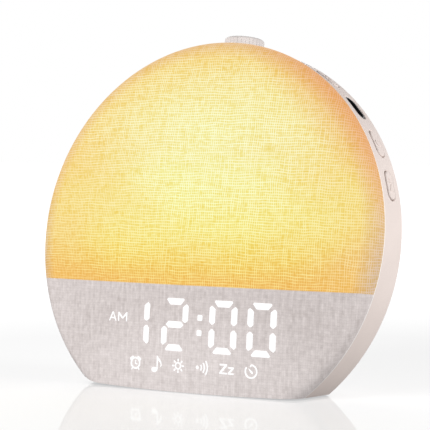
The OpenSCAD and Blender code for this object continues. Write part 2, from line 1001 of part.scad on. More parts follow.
module coin_cell_holder() {
    color("ivory") in_face() at_cell() difference() {
        rod(holder_r, -holder_h, 0);
        rod(cell_r + cell_gap, -holder_h - 1, -cell_top);
    }
}

// ---- wiring ----

module display_cable() {
    color("lightgray") in_face() translate([0, digit_y + 4, 0])
        block(12, 0.4, board_w + 2, display_board_w - 2);
}

module cable_sockets() {
    color("ivory") in_face() translate([0, digit_y + 4, 0]) {
        block(14, 4, board_w, board_w + 2);
        block(14, 4, display_board_w - 2, display_board_w);
    }
}

module speaker_leads() {
    color("firebrick") in_face() for (s = [-1, 1])
        translate([s * 4, speaker_y, 0])
            rod(0.7, back_in + magnet_back, board_w - board_t);
}

module power_leads() {
    color("firebrick") in_face() for (s = [-1, 0, 1]) translate([20 + 3 * s, socket_y + 4, 0])
        rod(0.8, power_board_w, board_w - board_t);
}

// ---- screws ----

module case_screws() {
    color("silver") in_face() for (a = boss_angles) rotate([0, 0, a])
        translate([boss_at, 0, -housing_depth - floor_t]) mirror([0, 0, 1])
            screw(screw_r, head_r, head_h, floor_t + case_bite);
}

module base_screws() {
    color("silver") base_screw_places() translate([0, 0, base_gap + base_sink]) mirror([0, 0, 1])
        screw(screw_r, head_r, base_head_h, base_t - base_sink + post_h - web_short);
}

module board_screws() {
    color("silver") in_face() for (a = boss_angles) rotate([0, 0, a])
        translate([boss_at, 0, board_w]) screw(screw_r, head_r, head_h, board_t + board_bite);
}

module tray_screws() {
    color("silver") in_face() for (a = lug_angles) rotate([0, 0, a])
        translate([tray_screw_r, 0, tray_w + tray_t])
            screw(small_r, small_head_r, small_head_h, tray_t + lug_d - tip_gap);
}

module power_board_screws() {
    color("silver") in_face() for (s = [-1, 1])
        translate([s * post_x, socket_y, power_board_w])
            screw(small_r, small_head_r, small_head_h, board_t + board_bite);
}

module speaker_screws() {
    color("silver") in_face() at_speaker() for (a = [45:90:315]) rotate([0, 0, a])
        translate([ear_at, 0, gasket_t + flange_s])
            screw(small_r, small_head_r, small_head_h, gasket_t + flange_s + speaker_bite);
}

rim_housing();
rear_cover();
base_plate();
grip_pad();
ballast();
fabric_cover();
diffuser();
display_mask();
light_divider();
light_tray();
led_board();
leds();
display_board();
digit_guides();
icon_guides();
main_board();
chips();
tact_switch(0);  // tact_switch_1
tact_switch(1);  // tact_switch_2
tact_switch(2);  // tact_switch_3
side_button(0);  // side_button_1
side_button(1);  // side_button_2
side_button(2);  // side_button_3
switch_bezel();
switch_knob();
slide_switch();
dial_knob();
encoder_nut();
encoder_bushing();
encoder_shaft();
encoder_plunger();
encoder_body();
encoder_board();
speaker_gasket();
speaker_frame();
speaker_cone();
speaker_magnet();
power_board();
power_jack();
power_jack_pin();
usb_shell();
usb_tongue();
coin_cell();
coin_cell_holder();
display_cable();
cable_sockets();
speaker_leads();
power_leads();
case_screws();
base_screws();
board_screws();
tray_screws();
power_board_screws();
speaker_screws();
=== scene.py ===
"""Looks of a round sunrise alarm clock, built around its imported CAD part.

Every piece is made in the clock's face frame, in millimetres (x right, y up along the leaning face, w out of
the face), and is placed in the part's own frame, in metres, as its mesh is made.
"""

import functools
import json
import logging
import math
from collections.abc import Callable, Iterable, Sequence
from dataclasses import dataclass, field
from enum import Enum

import bmesh
import bpy
import numpy as np
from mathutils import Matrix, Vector
from mathutils.geometry import tessellate_polygon


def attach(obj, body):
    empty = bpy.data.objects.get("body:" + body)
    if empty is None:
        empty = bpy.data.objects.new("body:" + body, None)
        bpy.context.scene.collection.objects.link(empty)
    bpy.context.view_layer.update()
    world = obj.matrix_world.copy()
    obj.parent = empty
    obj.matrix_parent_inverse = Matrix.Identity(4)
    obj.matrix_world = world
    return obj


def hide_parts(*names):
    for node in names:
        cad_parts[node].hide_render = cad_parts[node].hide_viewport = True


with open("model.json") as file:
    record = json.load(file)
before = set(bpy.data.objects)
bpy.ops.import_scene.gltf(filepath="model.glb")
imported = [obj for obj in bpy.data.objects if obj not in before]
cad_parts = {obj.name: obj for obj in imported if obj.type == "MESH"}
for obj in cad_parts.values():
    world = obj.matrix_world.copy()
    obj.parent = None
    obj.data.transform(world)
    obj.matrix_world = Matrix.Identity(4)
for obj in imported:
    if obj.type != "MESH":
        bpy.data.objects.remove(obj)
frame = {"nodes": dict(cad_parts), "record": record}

LOG = logging.getLogger("sunrise_clock")
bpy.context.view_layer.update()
MM = 0.001
CLOTH_MAP = "ClothMap"
CLOTH_SPAN_MM = 200.0

Object = bpy.types.Object
Socket = bpy.types.NodeSocket
Colour = tuple[float, float, float]
Point2 = tuple[float, float]
Point3 = tuple[float, float, float]
Put = Callable[[float, float, float], Point3]
SQUARE = ((1, 1), (-1, 1), (-1, -1), (1, -1))


def shade(red: int, green: int, blue: int) -> Colour:
    """The linear colour of display values from 0 to 255."""
    parts = [value / 255 for value in (red, green, blue)]
    return tuple(v / 12.92 if v <= 0.04045 else ((v + 0.055) / 1.055) ** 2.4 for v in parts)


# ---- sizes that the pieces share


@dataclass(frozen=True)
class FaceFrame:
    """The leaning frame that the clock's round pieces are made in."""

    lean_deg: float = 10.0
    rim_r: float = 87.0
    base_cut: float = 19.6
    base_gap: float = 0.8
    body_depth: float = 44.0

    @property
    def lean(self) -> float:
        """The lean in radians."""
        return math.radians(self.lean_deg)

    @property
    def origin(self) -> tuple[float, float]:
        """Where the face's centre is: Y and Z in millimetres."""
        z = self.base_gap + self.rim_r * math.cos(self.lean) - self.base_cut
        return z * math.tan(self.lean) - self.body_depth / 2 / math.cos(self.lean), z

    @property
    def base_y(self) -> float:
        """Place on the face where it meets the base plane."""
        return (self.base_gap - self.origin[1]) / math.cos(self.lean)

    def place(self, points: np.ndarray) -> np.ndarray:
        """Points of the face frame in millimetres, placed in the part's frame in metres.

        Args:
            points: An array of x, y, w rows.

        Returns:
            The placed points.
        """
        y0, z0 = self.origin
        x, y, w = np.asarray(points, float).T
        sin, cos = math.sin(self.lean), math.cos(self.lean)
        return np.stack([x, y0 + y * sin - w * cos, z0 + y * cos + w * sin], 1) * MM

    def height(self, y: float, w: float) -> float:
        """Height above the table of a point of the face frame, in millimetres."""
        return self.origin[1] + y * math.cos(self.lean) + w * math.sin(self.lean)


FACE = FaceFrame()


@dataclass(frozen=True)
class Casing:
    """Outline of the rim and the rear cover, as radius against depth."""

    lip: float = 0.9
    wall: float = 2.4
    rim_flat: float = 15.5
    joint_depth: float = 31.0
    taper_deg: float = 35.0
    corner_r: float = 5.0
    back_r: float = 25.8

    @property
    def inner_r(self) -> float:
        """Radius of the rim's inner wall."""
        return FACE.rim_r - self.wall

    @property
    def corner_c(self) -> float:
        """Radius at which the rim's corner rounding is centred."""
        return FACE.rim_r - self.corner_r

    @property
    def slope_start(self) -> Point2:
        """Radius and depth where the slope begins."""
        t = math.radians(self.taper_deg)
        return (self.corner_c + self.corner_r * math.cos(t), -self.rim_flat - self.corner_r * math.sin(t))

    @property
    def back_c(self) -> float:
        """Radius of the flat back, where its rounding is centred."""
        t = math.radians(self.taper_deg)
        r, w = self.slope_start
        fall = w + FACE.body_depth - self.back_r * (1 - math.sin(t))
        return r - fall * math.tan(t) - self.back_r * math.cos(t)

    def slope_r(self, w: float, inset: float = 0.0) -> float:
        """Radius of the slope at a depth.

        Args:
            w: The depth.
            inset: How far inside the outside.

        Returns:
            The radius.
        """
        t = math.radians(self.taper_deg)
        r0, w0 = self.slope_start
        return r0 - (w0 - w) * math.tan(t) - inset / math.cos(t)

    def corner(self, inset: float, count: int = 10) -> list[Point2]:
        """Points of the rounding between the rim and the slope."""
        return arc((self.corner_c, -self.rim_flat), self.corner_r - inset, 0, -self.taper_deg, count)

    def back(self, inset: float, count: int = 22) -> list[Point2]:
        """Points of the rounding between the slope and the flat back."""
        centre = (self.back_c, -FACE.body_depth + self.back_r)
        return arc(centre, self.back_r - inset, -self.taper_deg, -90, count)


def arc(centre: Point2, radius: float, start: float, end: float, count: int) -> list[Point2]:
    """Points on an arc between two angles in degrees, in a count of steps."""
    turns = [math.radians(start + (end - start) * i / count) for i in range(count + 1)]
    return [(centre[0] + radius * math.cos(a), centre[1] + radius * math.sin(a)) for a in turns]


CASING = Casing()


@dataclass(frozen=True)
class Dome:
    """Outline of the stretched cloth: a large crown that runs into an edge rounding."""

    crown: float = 13.1
    edge_r: float = 5.9
    outer: float = 87.2

    @property
    def edge_c(self) -> float:
        """Radius at which the edge rounding is centred."""
        return self.outer - self.edge_r

    @property
    def edge_turn(self) -> float:
        """Angle at which the edge rounding meets the crown, in radians."""
        return math.pi / 2 - 2 * math.atan((self.crown - self.edge_r) / self.edge_c)

    @property
    def crown_r(self) -> float:
        """Radius of the crown."""
        return self.edge_r + self.edge_c / math.cos(self.edge_turn)

    @property
    def crown_w(self) -> float:
        """Depth at which the crown is centred."""
        return -self.edge_c * math.tan(self.edge_turn)

    @property
    def crown_length(self) -> float:
        """Length of the crown's arc from the middle to the edge rounding."""
        return self.crown_r * (math.pi / 2 - self.edge_turn)

    @property
    def length(self) -> float:
        """Length of the whole outline from the middle to the rim."""
        return self.crown_length + self.edge_r * self.edge_turn

    def at(self, s: float, inset: float = 0.0) -> Point2:
        """A point of the outline.

        Args:
            s: Length from the middle.
            inset: How far inside the outline.

        Returns:
            Radius and height.
        """
        if s <= self.crown_length:
            a = s / self.crown_r
            r = self.crown_r - inset
            return r * math.sin(a), self.crown_w + r * math.cos(a)
        a = self.edge_turn - (s - self.crown_length) / self.edge_r
        r = self.edge_r - inset
        return self.edge_c + r * math.cos(a), r * math.sin(a)

    def height(self, x: float, y: float, inset: float = 0.0) -> float:
        """Height of the crown over a point of the face."""
        r = self.crown_r - inset
        return self.crown_w + math.sqrt(r * r - x * x - y * y)


DOME = Dome()


# ---- materials


class Nodes:
    """A node tree, with short calls for the nodes that several trees share."""

    def __init__(self, tree: bpy.types.NodeTree) -> None:
        """Takes a tree and empties it."""
        self.tree = tree
        tree.nodes.clear()

    def node(self, kind: str, inputs: dict | None = None, **settings: object) -> bpy.types.Node:
        """Adds a node.

        Args:
            kind: The node's type name.
            inputs: Values or sockets for its inputs, by name or index.
            settings: Properties to set on it.

        Returns:
            The node.
        """
        made = self.tree.nodes.new(kind)
        for name, value in settings.items():
            setattr(made, name, value)
        for key, value in (inputs or {}).items():
            self.feed(made.inputs[key], value)
        return made

    def first(self, kind: str, inputs: dict | None = None, **settings: object) -> Socket:
        """Adds a node and gives its first output."""
        return self.node(kind, inputs, **settings).outputs[0]

    def feed(self, socket: Socket, value: object) -> None:
        """Links a socket to an input, or sets the input's own value."""
        if isinstance(value, bpy.types.NodeSocket):
            self.tree.links.new(value, socket)
        elif isinstance(value, (int, float)):
            socket.default_value = value
        else:
            wanted = len(socket.default_value)
            socket.default_value = (*value, 1.0)[:wanted]

    def math(self, op: str, *values: object, clamp: bool = False) -> Socket:
        """A Math node's result."""
        return self.first("ShaderNodeMath", dict(enumerate(values)), operation=op, use_clamp=clamp)

    def combine(self, x: object, y: object, z: object = 0.0) -> Socket:
        """A vector of three numbers."""
        return self.first("ShaderNodeCombineXYZ", {0: x, 1: y, 2: z})

    def separate(self, vector: Socket) -> tuple[Socket, Socket, Socket]:
        """The three numbers of a vector."""
        return tuple(self.node("ShaderNodeSeparateXYZ", {0: vector}).outputs)

    def squares(self, x: Socket, y: Socket) -> Socket:
        """The sum of two squares."""
        return self.math("ADD", self.math("MULTIPLY", x, x), self.math("MULTIPLY", y, y))

    def length(self, x: Socket, y: Socket) -> Socket:
        """Length of a flat vector."""
        return self.math("SQRT", self.squares(x, y))

    def span(self, value: object, *ends: float) -> Socket:
        """A value's range mapped to another one, 0 to 1 if left out, with clamped ends."""
        return self.first("ShaderNodeMapRange", {0: value, **dict(enumerate(ends, 1))})


class Graph(Nodes):
    """A material's node tree."""

    def __init__(self, name: str) -> None:
        """Starts an empty material. Its glow isn't sampled as a lamp, so that the lamps get the samples.

        Args:
            name: The material's name.
        """
        self.material = bpy.data.materials.new(name)
        self.material.use_nodes = True
        self.material.cycles.emission_sampling = "NONE"
        super().__init__(self.material.node_tree)
        self.place: Socket = self.node("ShaderNodeTexCoord").outputs["Object"]

    def face_place(self) -> tuple[Socket, Socket, Socket]:
        """Place in the face frame, in millimetres, from Object coordinates."""
        x, y, z = self.separate(self.place)
        back, rise = [self.math("SUBTRACT", v, v0 * MM) for v, v0 in zip((y, z), FACE.origin)]
        sin, cos = math.sin(FACE.lean) / MM, math.cos(FACE.lean) / MM
        up = self.math("ADD", self.math("MULTIPLY", rise, cos), self.math("MULTIPLY", back, sin))
        out = self.math("SUBTRACT", self.math("MULTIPLY", rise, sin), self.math("MULTIPLY", back, cos))
        return self.math("DIVIDE", x, MM), up, out

    def off(self, value: Socket, middle: float, reach: float) -> Socket:
        """How far a value is from a middle, as a share of a reach."""
        return self.math("DIVIDE", self.math("SUBTRACT", value, middle), reach)

    def noise(self, where: Socket, scale: float, detail: float = 2.0, rough: float = 0.5) -> Socket:
        """A noise from 0 to 1."""
        inputs = {"Vector": where, "Scale": scale, "Detail": detail, "Roughness": rough}
        return self.first("ShaderNodeTexNoise", inputs)

    def spread(self, noise: Socket, low: float, high: float) -> Socket:
        """The part of a noise's range that it mostly fills, mapped to another range."""
        return self.span(noise, 0.3, 0.7, low, high)

    def mix(self, share: object, first: object, second: object, blend: str = "MIX") -> Socket:
        """A mix of two colours.

        Args:
            share: How much of the second one shows.
            first, second: The colours.
            blend: How they mix.

        Returns:
            The mixed colour.
        """
        made = self.node("ShaderNodeMix", data_type="RGBA", blend_type=blend)
        for key, value in ((0, share), (6, first), (7, second)):
            self.feed(made.inputs[key], value)
        return made.outputs[2]

    def times(self, first: object, second: object) -> Socket:
        """The product of two colours."""
        return self.mix(1.0, first, second, "MULTIPLY")

    def toned(self, colour: object, level: Socket) -> Socket:
        """A colour made lighter or darker by a factor."""
        return self.times(colour, self.combine(level, level, level))

    def ramp(self, value: Socket, stops: Sequence[tuple[float, Colour]]) -> Socket:
        """A colour ramp.

        Args:
            value: Where on the ramp.
            stops: Places from 0 to 1 with their colours.

        Returns:
            The colour there.
        """
        made = self.node("ShaderNodeValToRGB", {0: value})
        elements = made.color_ramp.elements
        while len(elements) < len(stops):
            elements.new(0.5)
        for element, (at, colour) in zip(elements, stops):
            element.position = at
            element.color = (*colour, 1.0)
        return made.outputs[0]

    def scaled(self, x: float, y: float, z: float) -> Socket:
        """Object coordinates stretched by a factor each way."""
        inputs = {0: self.place, 1: (x, y, z)}
        return self.first("ShaderNodeVectorMath", inputs, operation="MULTIPLY")

    def bump(self, height: Socket, distance: float, strength: float = 1.0) -> Socket:
        """A normal from a height of 0 to 1, where 1 stands for a distance in metres."""
        inputs = {"Strength": strength, "Distance": distance, "Height": height}
        return self.first("ShaderNodeBump", inputs)

    def finish(self, **inputs: object) -> bpy.types.Material:
        """Adds the Principled shader and the output.

        Args:
            inputs: The shader's inputs, with spaces written as underscores.

        Returns:
            The material.
        """
        named = {key.replace("_", " "): value for key, value in inputs.items()}
        self.node("ShaderNodeOutputMaterial", {0: self.first("ShaderNodeBsdfPrincipled", named)})
        return self.material


@dataclass(frozen=True)
class MouldedFinish:
    """Moulded plastic: a fine spark-eroded grain and faint cloudiness, and, where a lip colour is given, a
    painted highlight along the front lip.
    """

    name: str
    colour: Colour
    roughness: float = 0.5
    grain_um: float = 4.0
    grain_per_m: float = 2200.0
    cloud: float = 0.03
    specular: float = 0.4
    lip_colour: Colour | None = None
    lip_mm: float = 0.9
    lip_soft: float = 0.15

    def shell(self, g: Graph) -> object:
        """The plastic's colour, with a painted highlight: a paler line along the front lip.

        Args:
            g: The material's nodes.

        Returns:
            The colour or its socket.
        """
        if self.lip_colour is None:
            return self.colour
        # Painted highlight: the rim's front, round its lip, takes the paler colour down to the given depth.
        ends = (-self.lip_mm - self.lip_soft, -self.lip_mm + self.lip_soft)
        return g.mix(g.span(g.face_place()[2], *ends), self.colour, self.lip_colour)

    def material(self) -> bpy.types.Material:
        """The material."""
        g = Graph(self.name)
        clouds = g.noise(g.place, 38.0, 3.0)
        specks = g.noise(g.place, self.grain_per_m, 2.0)
        tone = g.spread(clouds, 1.0 - self.cloud, 1.0 + self.cloud)
        fleck = g.span(specks, 0.35, 0.65, 0.985, 1.015)
        return g.finish(
            Base_Color=g.toned(self.shell(g), g.math("MULTIPLY", tone, fleck)),
            Roughness=g.spread(clouds, self.roughness - 0.04, self.roughness + 0.05),
            Specular_IOR_Level=self.specular,
            Normal=g.bump(specks, self.grain_um * 1e-6, 0.5),
        )


@dataclass(frozen=True)
class MetalFinish:
    """Plated or brushed metal with fine drawn lines."""

    name: str
    colour: Colour
    roughness: float = 0.32
    lines_per_m: float = 2400.0

    def material(self) -> bpy.types.Material:
        """The material."""
        g = Graph(self.name)
        lines = g.noise(g.scaled(0.05, 1.0, 1.0), self.lines_per_m, 2.0)
        smudge = g.noise(g.place, 120.0, 3.0)
        worn = g.spread(smudge, self.roughness - 0.05, self.roughness + 0.08)
        rough = g.math("ADD", g.spread(lines, -0.06, 0.06), worn)
        tone = g.spread(lines, 0.93, 1.04)
        colour = g.toned(self.colour, tone)
        return g.finish(Base_Color=colour, Metallic=1.0, Roughness=rough, Normal=g.bump(lines, 4e-6, 0.5))


@dataclass(frozen=True)
class BoardFinish:
    """Circuit board: solder mask over faint tracks, with small bright pads."""

    name: str
    mask: Colour
    track: Colour
    pad: Colour = (0.75, 0.72, 0.62)

    def material(self) -> bpy.types.Material:
        """The material."""
        g = Graph(self.name)
        cells = g.first("ShaderNodeTexVoronoi", {"Vector": g.place, "Scale": 260.0}, distance="MANHATTAN")
        tracks = g.math("LESS_THAN", g.math("PINGPONG", g.math("MULTIPLY", cells, 9.0), 0.5), 0.16)
        pads = g.math("LESS_THAN", cells, 0.1)
        colour = g.mix(pads, g.mix(tracks, self.mask, self.track), self.pad)
        rough = g.spread(g.noise(g.place, 900.0), 0.28, 0.42)
        return g.finish(Base_Color=colour, Roughness=rough, Normal=g.bump(tracks, 3e-5, 0.5))


@dataclass(frozen=True)
class RubberFinish:
    """Soft matt rubber with a fine stipple."""

    name: str
    colour: Colour

    def material(self) -> bpy.types.Material:
        """The material."""
        g = Graph(self.name)
        stipple = g.first("ShaderNodeTexVoronoi", {"Vector": g.place, "Scale": 1800.0})
        dust = g.span(g.noise(g.place, 160.0, 4.0), 0.35, 0.75, 0.92, 1.25)
        colour = g.toned(self.colour, dust)
        normal = g.bump(stipple, 6e-5, 0.7)
        return g.finish(Base_Color=colour, Roughness=0.85, Specular_IOR_Level=0.25, Normal=normal)


@dataclass(frozen=True)
class PaperFinish:
    """Pressed paper with short fibres."""

    name: str
    colour: Colour

    def material(self) -> bpy.types.Material:
        """The material."""
        g = Graph(self.name)
        fibres = g.noise(g.scaled(1.0, 0.4, 1.0), 1500.0, 4.0, 0.7)
        tone = g.spread(fibres, 0.75, 1.3)
        colour = g.toned(self.colour, tone)
        return g.finish(Base_Color=colour, Roughness=0.9, Normal=g.bump(fibres, 5e-5, 0.6))


@dataclass(frozen=True)
class MilkyFinish:
    """Milky plastic that carries or spreads light."""

    name: str
    colour: Colour
    roughness: float = 0.35

    def material(self) -> bpy.types.Material:
        """The material."""
        g = Graph(self.name)
        cloud = g.noise(g.place, 420.0, 4.0)
        tone = g.spread(cloud, 0.95, 1.03)
        colour = g.toned(self.colour, tone)
        rough = g.spread(cloud, self.roughness - 0.06, self.roughness + 0.08)
        return g.finish(Base_Color=colour, Roughness=rough, Subsurface_Weight=0.15, Subsurface_Scale=0.003)


class Weave:
    """A plain linen weave with slubs, worked out in millimetres on the cloth's own map."""

    def __init__(self, graph: Graph, warp_pitch: float, weft_pitch: float) -> None:
        """Lays the threads.

        Args:
            graph: The material's nodes.
            warp_pitch: Distance between neighbouring upright threads, in millimetres.
            weft_pitch: Distance between neighbouring level threads.
        """
        self.g = g = graph
        uv = g.separate(g.first("ShaderNodeUVMap", uv_map=CLOTH_MAP))
        self.u, self.v = [g.math("MULTIPLY", g.math("SUBTRACT", t, 0.5), CLOTH_SPAN_MM) for t in uv[:2]]
        drift = g.noise(g.combine(self.u, self.v), 0.06, 2.0)
        wave = g.spread(drift, -0.45, 0.45)
        warp_at = g.math("DIVIDE", g.math("ADD", self.u, wave), warp_pitch)
        weft_at = g.math("DIVIDE", g.math("SUBTRACT", self.v, wave), weft_pitch)
        self.warp_wave = g.math("SINE", g.math("MULTIPLY", warp_at, math.pi))
        self.weft_wave = g.math("SINE", g.math("MULTIPLY", weft_at, math.pi))
        self.warp = g.math("ABSOLUTE", self.warp_wave)
        self.weft = g.math("ABSOLUTE", self.weft_wave)
        self.over = g.span(g.math("MULTIPLY", self.warp_wave, self.weft_wave), -0.25, 0.25)
        self.weft_body = self.streaks(g.math("FLOOR", weft_at), self.u, 0.34, 7.0)
        self.warp_body = self.streaks(g.math("FLOOR", warp_at), self.v, 0.3, 31.0)
        self.weft_gap = self.streaks(g.math("ROUND", weft_at), self.u, 0.3, 71.0)
        self.warp_gap = self.streaks(g.math("ROUND", warp_at), self.v, 0.3, 93.0)
        self.weft_run = self.streaks(g.math("ROUND", weft_at), self.u, 0.07, 117.0)
        self.warp_run = self.streaks(g.math("ROUND", warp_at), self.v, 0.05, 131.0)
        grain = g.combine(g.math("MULTIPLY", self.u, 2.4), g.math("MULTIPLY", self.v, 2.9))
        fibres = g.noise(grain, 1.0, 3.0, 0.65)
        self.fibre = g.spread(fibres, -1.0, 1.0)
        self.weft_slub = self.streaks(g.math("MULTIPLY", weft_at, 0.45), self.u, 0.05, 19.0)
        self.warp_slub = self.streaks(g.math("MULTIPLY", warp_at, 0.45), self.v, 0.04, 53.0)

    def streaks(self, thread: Socket, along: Socket, stretch: float, seed: float) -> Socket:
        """Random threads of differing weight that change slowly along their length.

        Args:
            thread: The thread's number.
            along: Distance along it.
            stretch: How quickly a thread changes along its length, per millimetre.
            seed: Sets one family of threads apart from another.

        Returns:
            A value from -1, thin, to 1, thick.
        """
        g = self.g
        where = g.combine(g.math("MULTIPLY", thread, 1.371), g.math("MULTIPLY", along, stretch), seed)
        return g.span(g.noise(where, 1.0, 1.0, 0.6), 0.25, 0.75, -1.0, 1.0)

    def blend(self, **shares: float) -> Socket:
        """Adds up the thread families.

        Args:
            shares: The families by name, and how much each counts.

        Returns:
            The sum.
        """
        g = self.g
        parts = [g.math("MULTIPLY", getattr(self, name), share) for name, share in shares.items()]
        return functools.reduce(lambda total, part: g.math("ADD", total, part), parts)

    def height(self) -> Socket:
        """Height of the threads, from 0 in the gaps to 1 on top."""
        g = self.g
        warp, weft = [
            g.math("MULTIPLY", wave, g.span(slub, -1.0, 1.0, 0.6, 1.0))
            for wave, slub in ((self.warp, self.warp_slub), (self.weft, self.weft_slub))
        ]
        return g.math("ADD", weft, g.math("MULTIPLY", self.over, g.math("SUBTRACT", warp, weft)))

    def light_lines(self) -> Socket:
        """Bright broken lines in the gaps between neighbouring threads, from 0 to 1."""
        g = self.g
        lines = []
        for way, wave, sharp, most in (("weft", self.weft, 2.4, 1.25), ("warp", self.warp, 2.2, 1.1)):
            line = g.math("POWER", g.math("SUBTRACT", 1.0, wave), sharp)
            share = self.blend(**{f"{way}_gap": 0.55, f"{way}_run": 0.65})
            lines.append(g.math("MULTIPLY", line, g.span(share, -0.6, 0.9, 0.0, most)))
        return g.math("ADD", *lines)


Stops = tuple[tuple[float, Colour], ...]


@dataclass(frozen=True)
class LinenFinish:
    """Slubbed linen over the lamp: greige below the border, lit from behind above it."""

    name: str = "linen"
    warp_pitch: float = 1.0
    weft_pitch: float = 1.2
    border_y: float = -22.9
    border_rise: float = 0.9
    border_soft: float = 0.35
    half_width: float = 84.0
    thread_light: Colour = shade(236, 227, 225)
    thread_dark: Colour = shade(192, 182, 179)
    lamp_colour: Colour = (0.995, 1.267, 0.864)
    lamp_level: float = 0.85
    # Share of the glow's colour painted into the base colour above the border.
    cloth_share: float = 0.18
    lamp_at: Point2 = (5.0, 45.0)
    lamp_reach: Point2 = (139.0, 71.0)
    border_reach: float = 60.0
    edge_stops: Stops = (
        (0.0, (1.0, 1.0, 1.0)),
        (0.3, (0.99, 0.9, 0.8)),
        (0.49, (0.98, 0.77, 0.57)),
        (0.66, (0.97, 0.7, 0.49)),
        (0.8, (0.96, 0.62, 0.42)),
        (1.0, (0.93, 0.5, 0.46)),
    )
    border_stops: Stops = (
        (0.0, (1.0, 0.91, 0.575)),
        (0.14, (1.0, 0.975, 0.67)),
        (0.24, (1.0, 1.0, 0.85)),
        (0.34, (1.0, 1.0, 0.975)),
        (0.54, (0.99, 0.943, 1.0)),
        (1.0, (0.973, 0.775, 0.802)),
    )
    thread_stops: Stops = ((0.0, (0.89, 0.78, 0.36)), (0.5, (0.955, 0.92, 0.66)), (1.0, (1.0, 1.0, 0.95)))
    thread_shift: float = 0.1
    halo_at: Point2 = (6.0, -60.0)
    halo_reach: Point2 = (80.0, 30.0)
    halo_level: Colour = (0.1, 0.098, 0.098)
    # Colours of the painted glow: in the ring round the rim, from its lower to its upper part, and in the
    # upper right corner.
    rim_tint: Colour = shade(232, 188, 170)
    low_tint: Colour = shade(205, 188, 196)
    warm_tint: Colour = shade(236, 150, 98)
    cloud_level: float = 0.04
    ring: Point3 = (79.0, 87.0, 0.68)
    tint_rise: Point2 = (-15.0, 20.0)
    corner: Point3 = (68.0, 86.0, 0.5)
    line_level: float = 2.5
    line_base: float = 0.38

    def glow(self, g: Graph, x: Socket, y: Socket, above: Socket, threads: Socket) -> Socket:
        """Colour of the light that comes through.

        Args:
            g: The material's nodes.
            x, y: Place on the face.
            above: Height above the border.
            threads: Light and dark threads, round 0.

        Returns:
            The colour.
        """
        where = [g.off(v, at, reach) for v, at, reach in zip((x, y), self.lamp_at, self.lamp_reach)]
        drift = g.noise(g.combine(g.math("MULTIPLY", x, 0.6), y), 0.03)
        cloud = g.spread(drift, -self.cloud_level, self.cloud_level)
        thin = g.math("MULTIPLY", threads, self.thread_shift)
        far = g.math("SUBTRACT", g.length(*where), thin)
        near = g.math("ADD", g.math("DIVIDE", above, self.border_reach), thin)
        edge = g.ramp(g.math("ADD", far, cloud), self.edge_stops)
        border = g.ramp(g.math("ADD", near, cloud), self.border_stops)
        thread = g.ramp(g.math("ADD", 0.5, threads), self.thread_stops)
        colour = g.times(g.times(g.times(edge, border), thread), self.lamp_colour)
        # The ring round the rim and the upper right corner take the painted glow's own colours.
        low, high, most = self.ring
        ring_glow = g.mix(g.span(y, *self.tint_rise), self.low_tint, self.rim_tint)
        colour = g.mix(g.span(g.length(x, y), low, high, 0.0, most), colour, g.times(ring_glow, thread))
        low, high, most = self.corner
        corner = g.math("MULTIPLY", g.math("ADD", x, y), math.sqrt(0.5))
        return g.mix(g.span(corner, low, high, 0.0, most), colour, g.times(self.warm_tint, thread))

    def halo(self, g: Graph, x: Socket, y: Socket) -> Socket:
        """How much of the display's light spreads in the cloth round it, from 0 to 1."""
        where = [g.off(v, at, reach) for v, at, reach in zip((x, y), self.halo_at, self.halo_reach)]
        return g.math("POWER", g.math("SUBTRACT", 1.0, g.squares(*where), clamp=True), 1.5)

    def material(self) -> bpy.types.Material:
        """The material."""
        g = Graph(self.name)
        weave = Weave(g, self.warp_pitch, self.weft_pitch)
        x, y, _ = g.face_place()
        side = g.math("DIVIDE", x, self.half_width)
        bow = g.math("MULTIPLY", g.math("MULTIPLY", side, side), self.border_rise)
        above = g.math("SUBTRACT", y, g.math("ADD", self.border_y, bow))
        lit = g.span(above, -self.border_soft / 2, self.border_soft / 2)
        height = weave.height()

        tone = weave.blend(warp_slub=0.14, warp_body=0.2, weft_body=0.14, weft_slub=0.06, fibre=0.12)
        cloth = g.math("ADD", tone, g.span(height, 0.0, 1.0, 0.4, 0.68), clamp=True)
        plain = g.mix(cloth, self.thread_dark, self.thread_light)

        threads = weave.blend(weft_body=0.17, weft_slub=0.06, warp_body=0.11, warp_slub=0.06, fibre=0.1)
        lines = g.math("SUBTRACT", g.math("MULTIPLY", weave.light_lines(), self.line_level), self.line_base)
        threads = g.math("ADD", threads, lines)
        glow = self.glow(g, x, y, above, threads)
        # Above the border the base colour is the glow's colour, dimmed: painted light in the cloth's own
        # colour.
        dim, lamp = [(level,) * 3 for level in (self.cloth_share, self.lamp_level)]
        halo = g.mix(self.halo(g, x, y), (0.0, 0.0, 0.0), self.halo_level)
        return g.finish(
            Base_Color=g.mix(lit, plain, g.times(glow, dim)),
            Roughness=0.92,
            Specular_IOR_Level=0.12,
            Sheen_Weight=0.1,
            Sheen_Roughness=0.5,
            Emission_Color=g.mix(lit, halo, g.times(glow, lamp)),
            Emission_Strength=1.0,
            Normal=g.bump(height, 8e-5, 0.5),
        )


@dataclass(frozen=True)
class GlyphFinish:
    """The display's light as it shows in the cloth: white, with a trace of the weave."""

    name: str = "display_light"
    colour: Colour = (1.0, 1.0, 1.0)

    def material(self) -> bpy.types.Material:
        """The material."""
        g = Graph(self.name)
        threads = g.noise(g.scaled(0.35, 1.0, 1.0), 1600.0, 2.0)
        tone = g.spread(threads, 0.9, 1.0)
        white = g.toned(self.colour, tone)
        return g.finish(
            Base_Color=g.times(white, (0.3, 0.3, 0.3)),
            Roughness=0.9,
            Specular_IOR_Level=0.1,
            Emission_Color=white,
            Emission_Strength=0.85,
        )


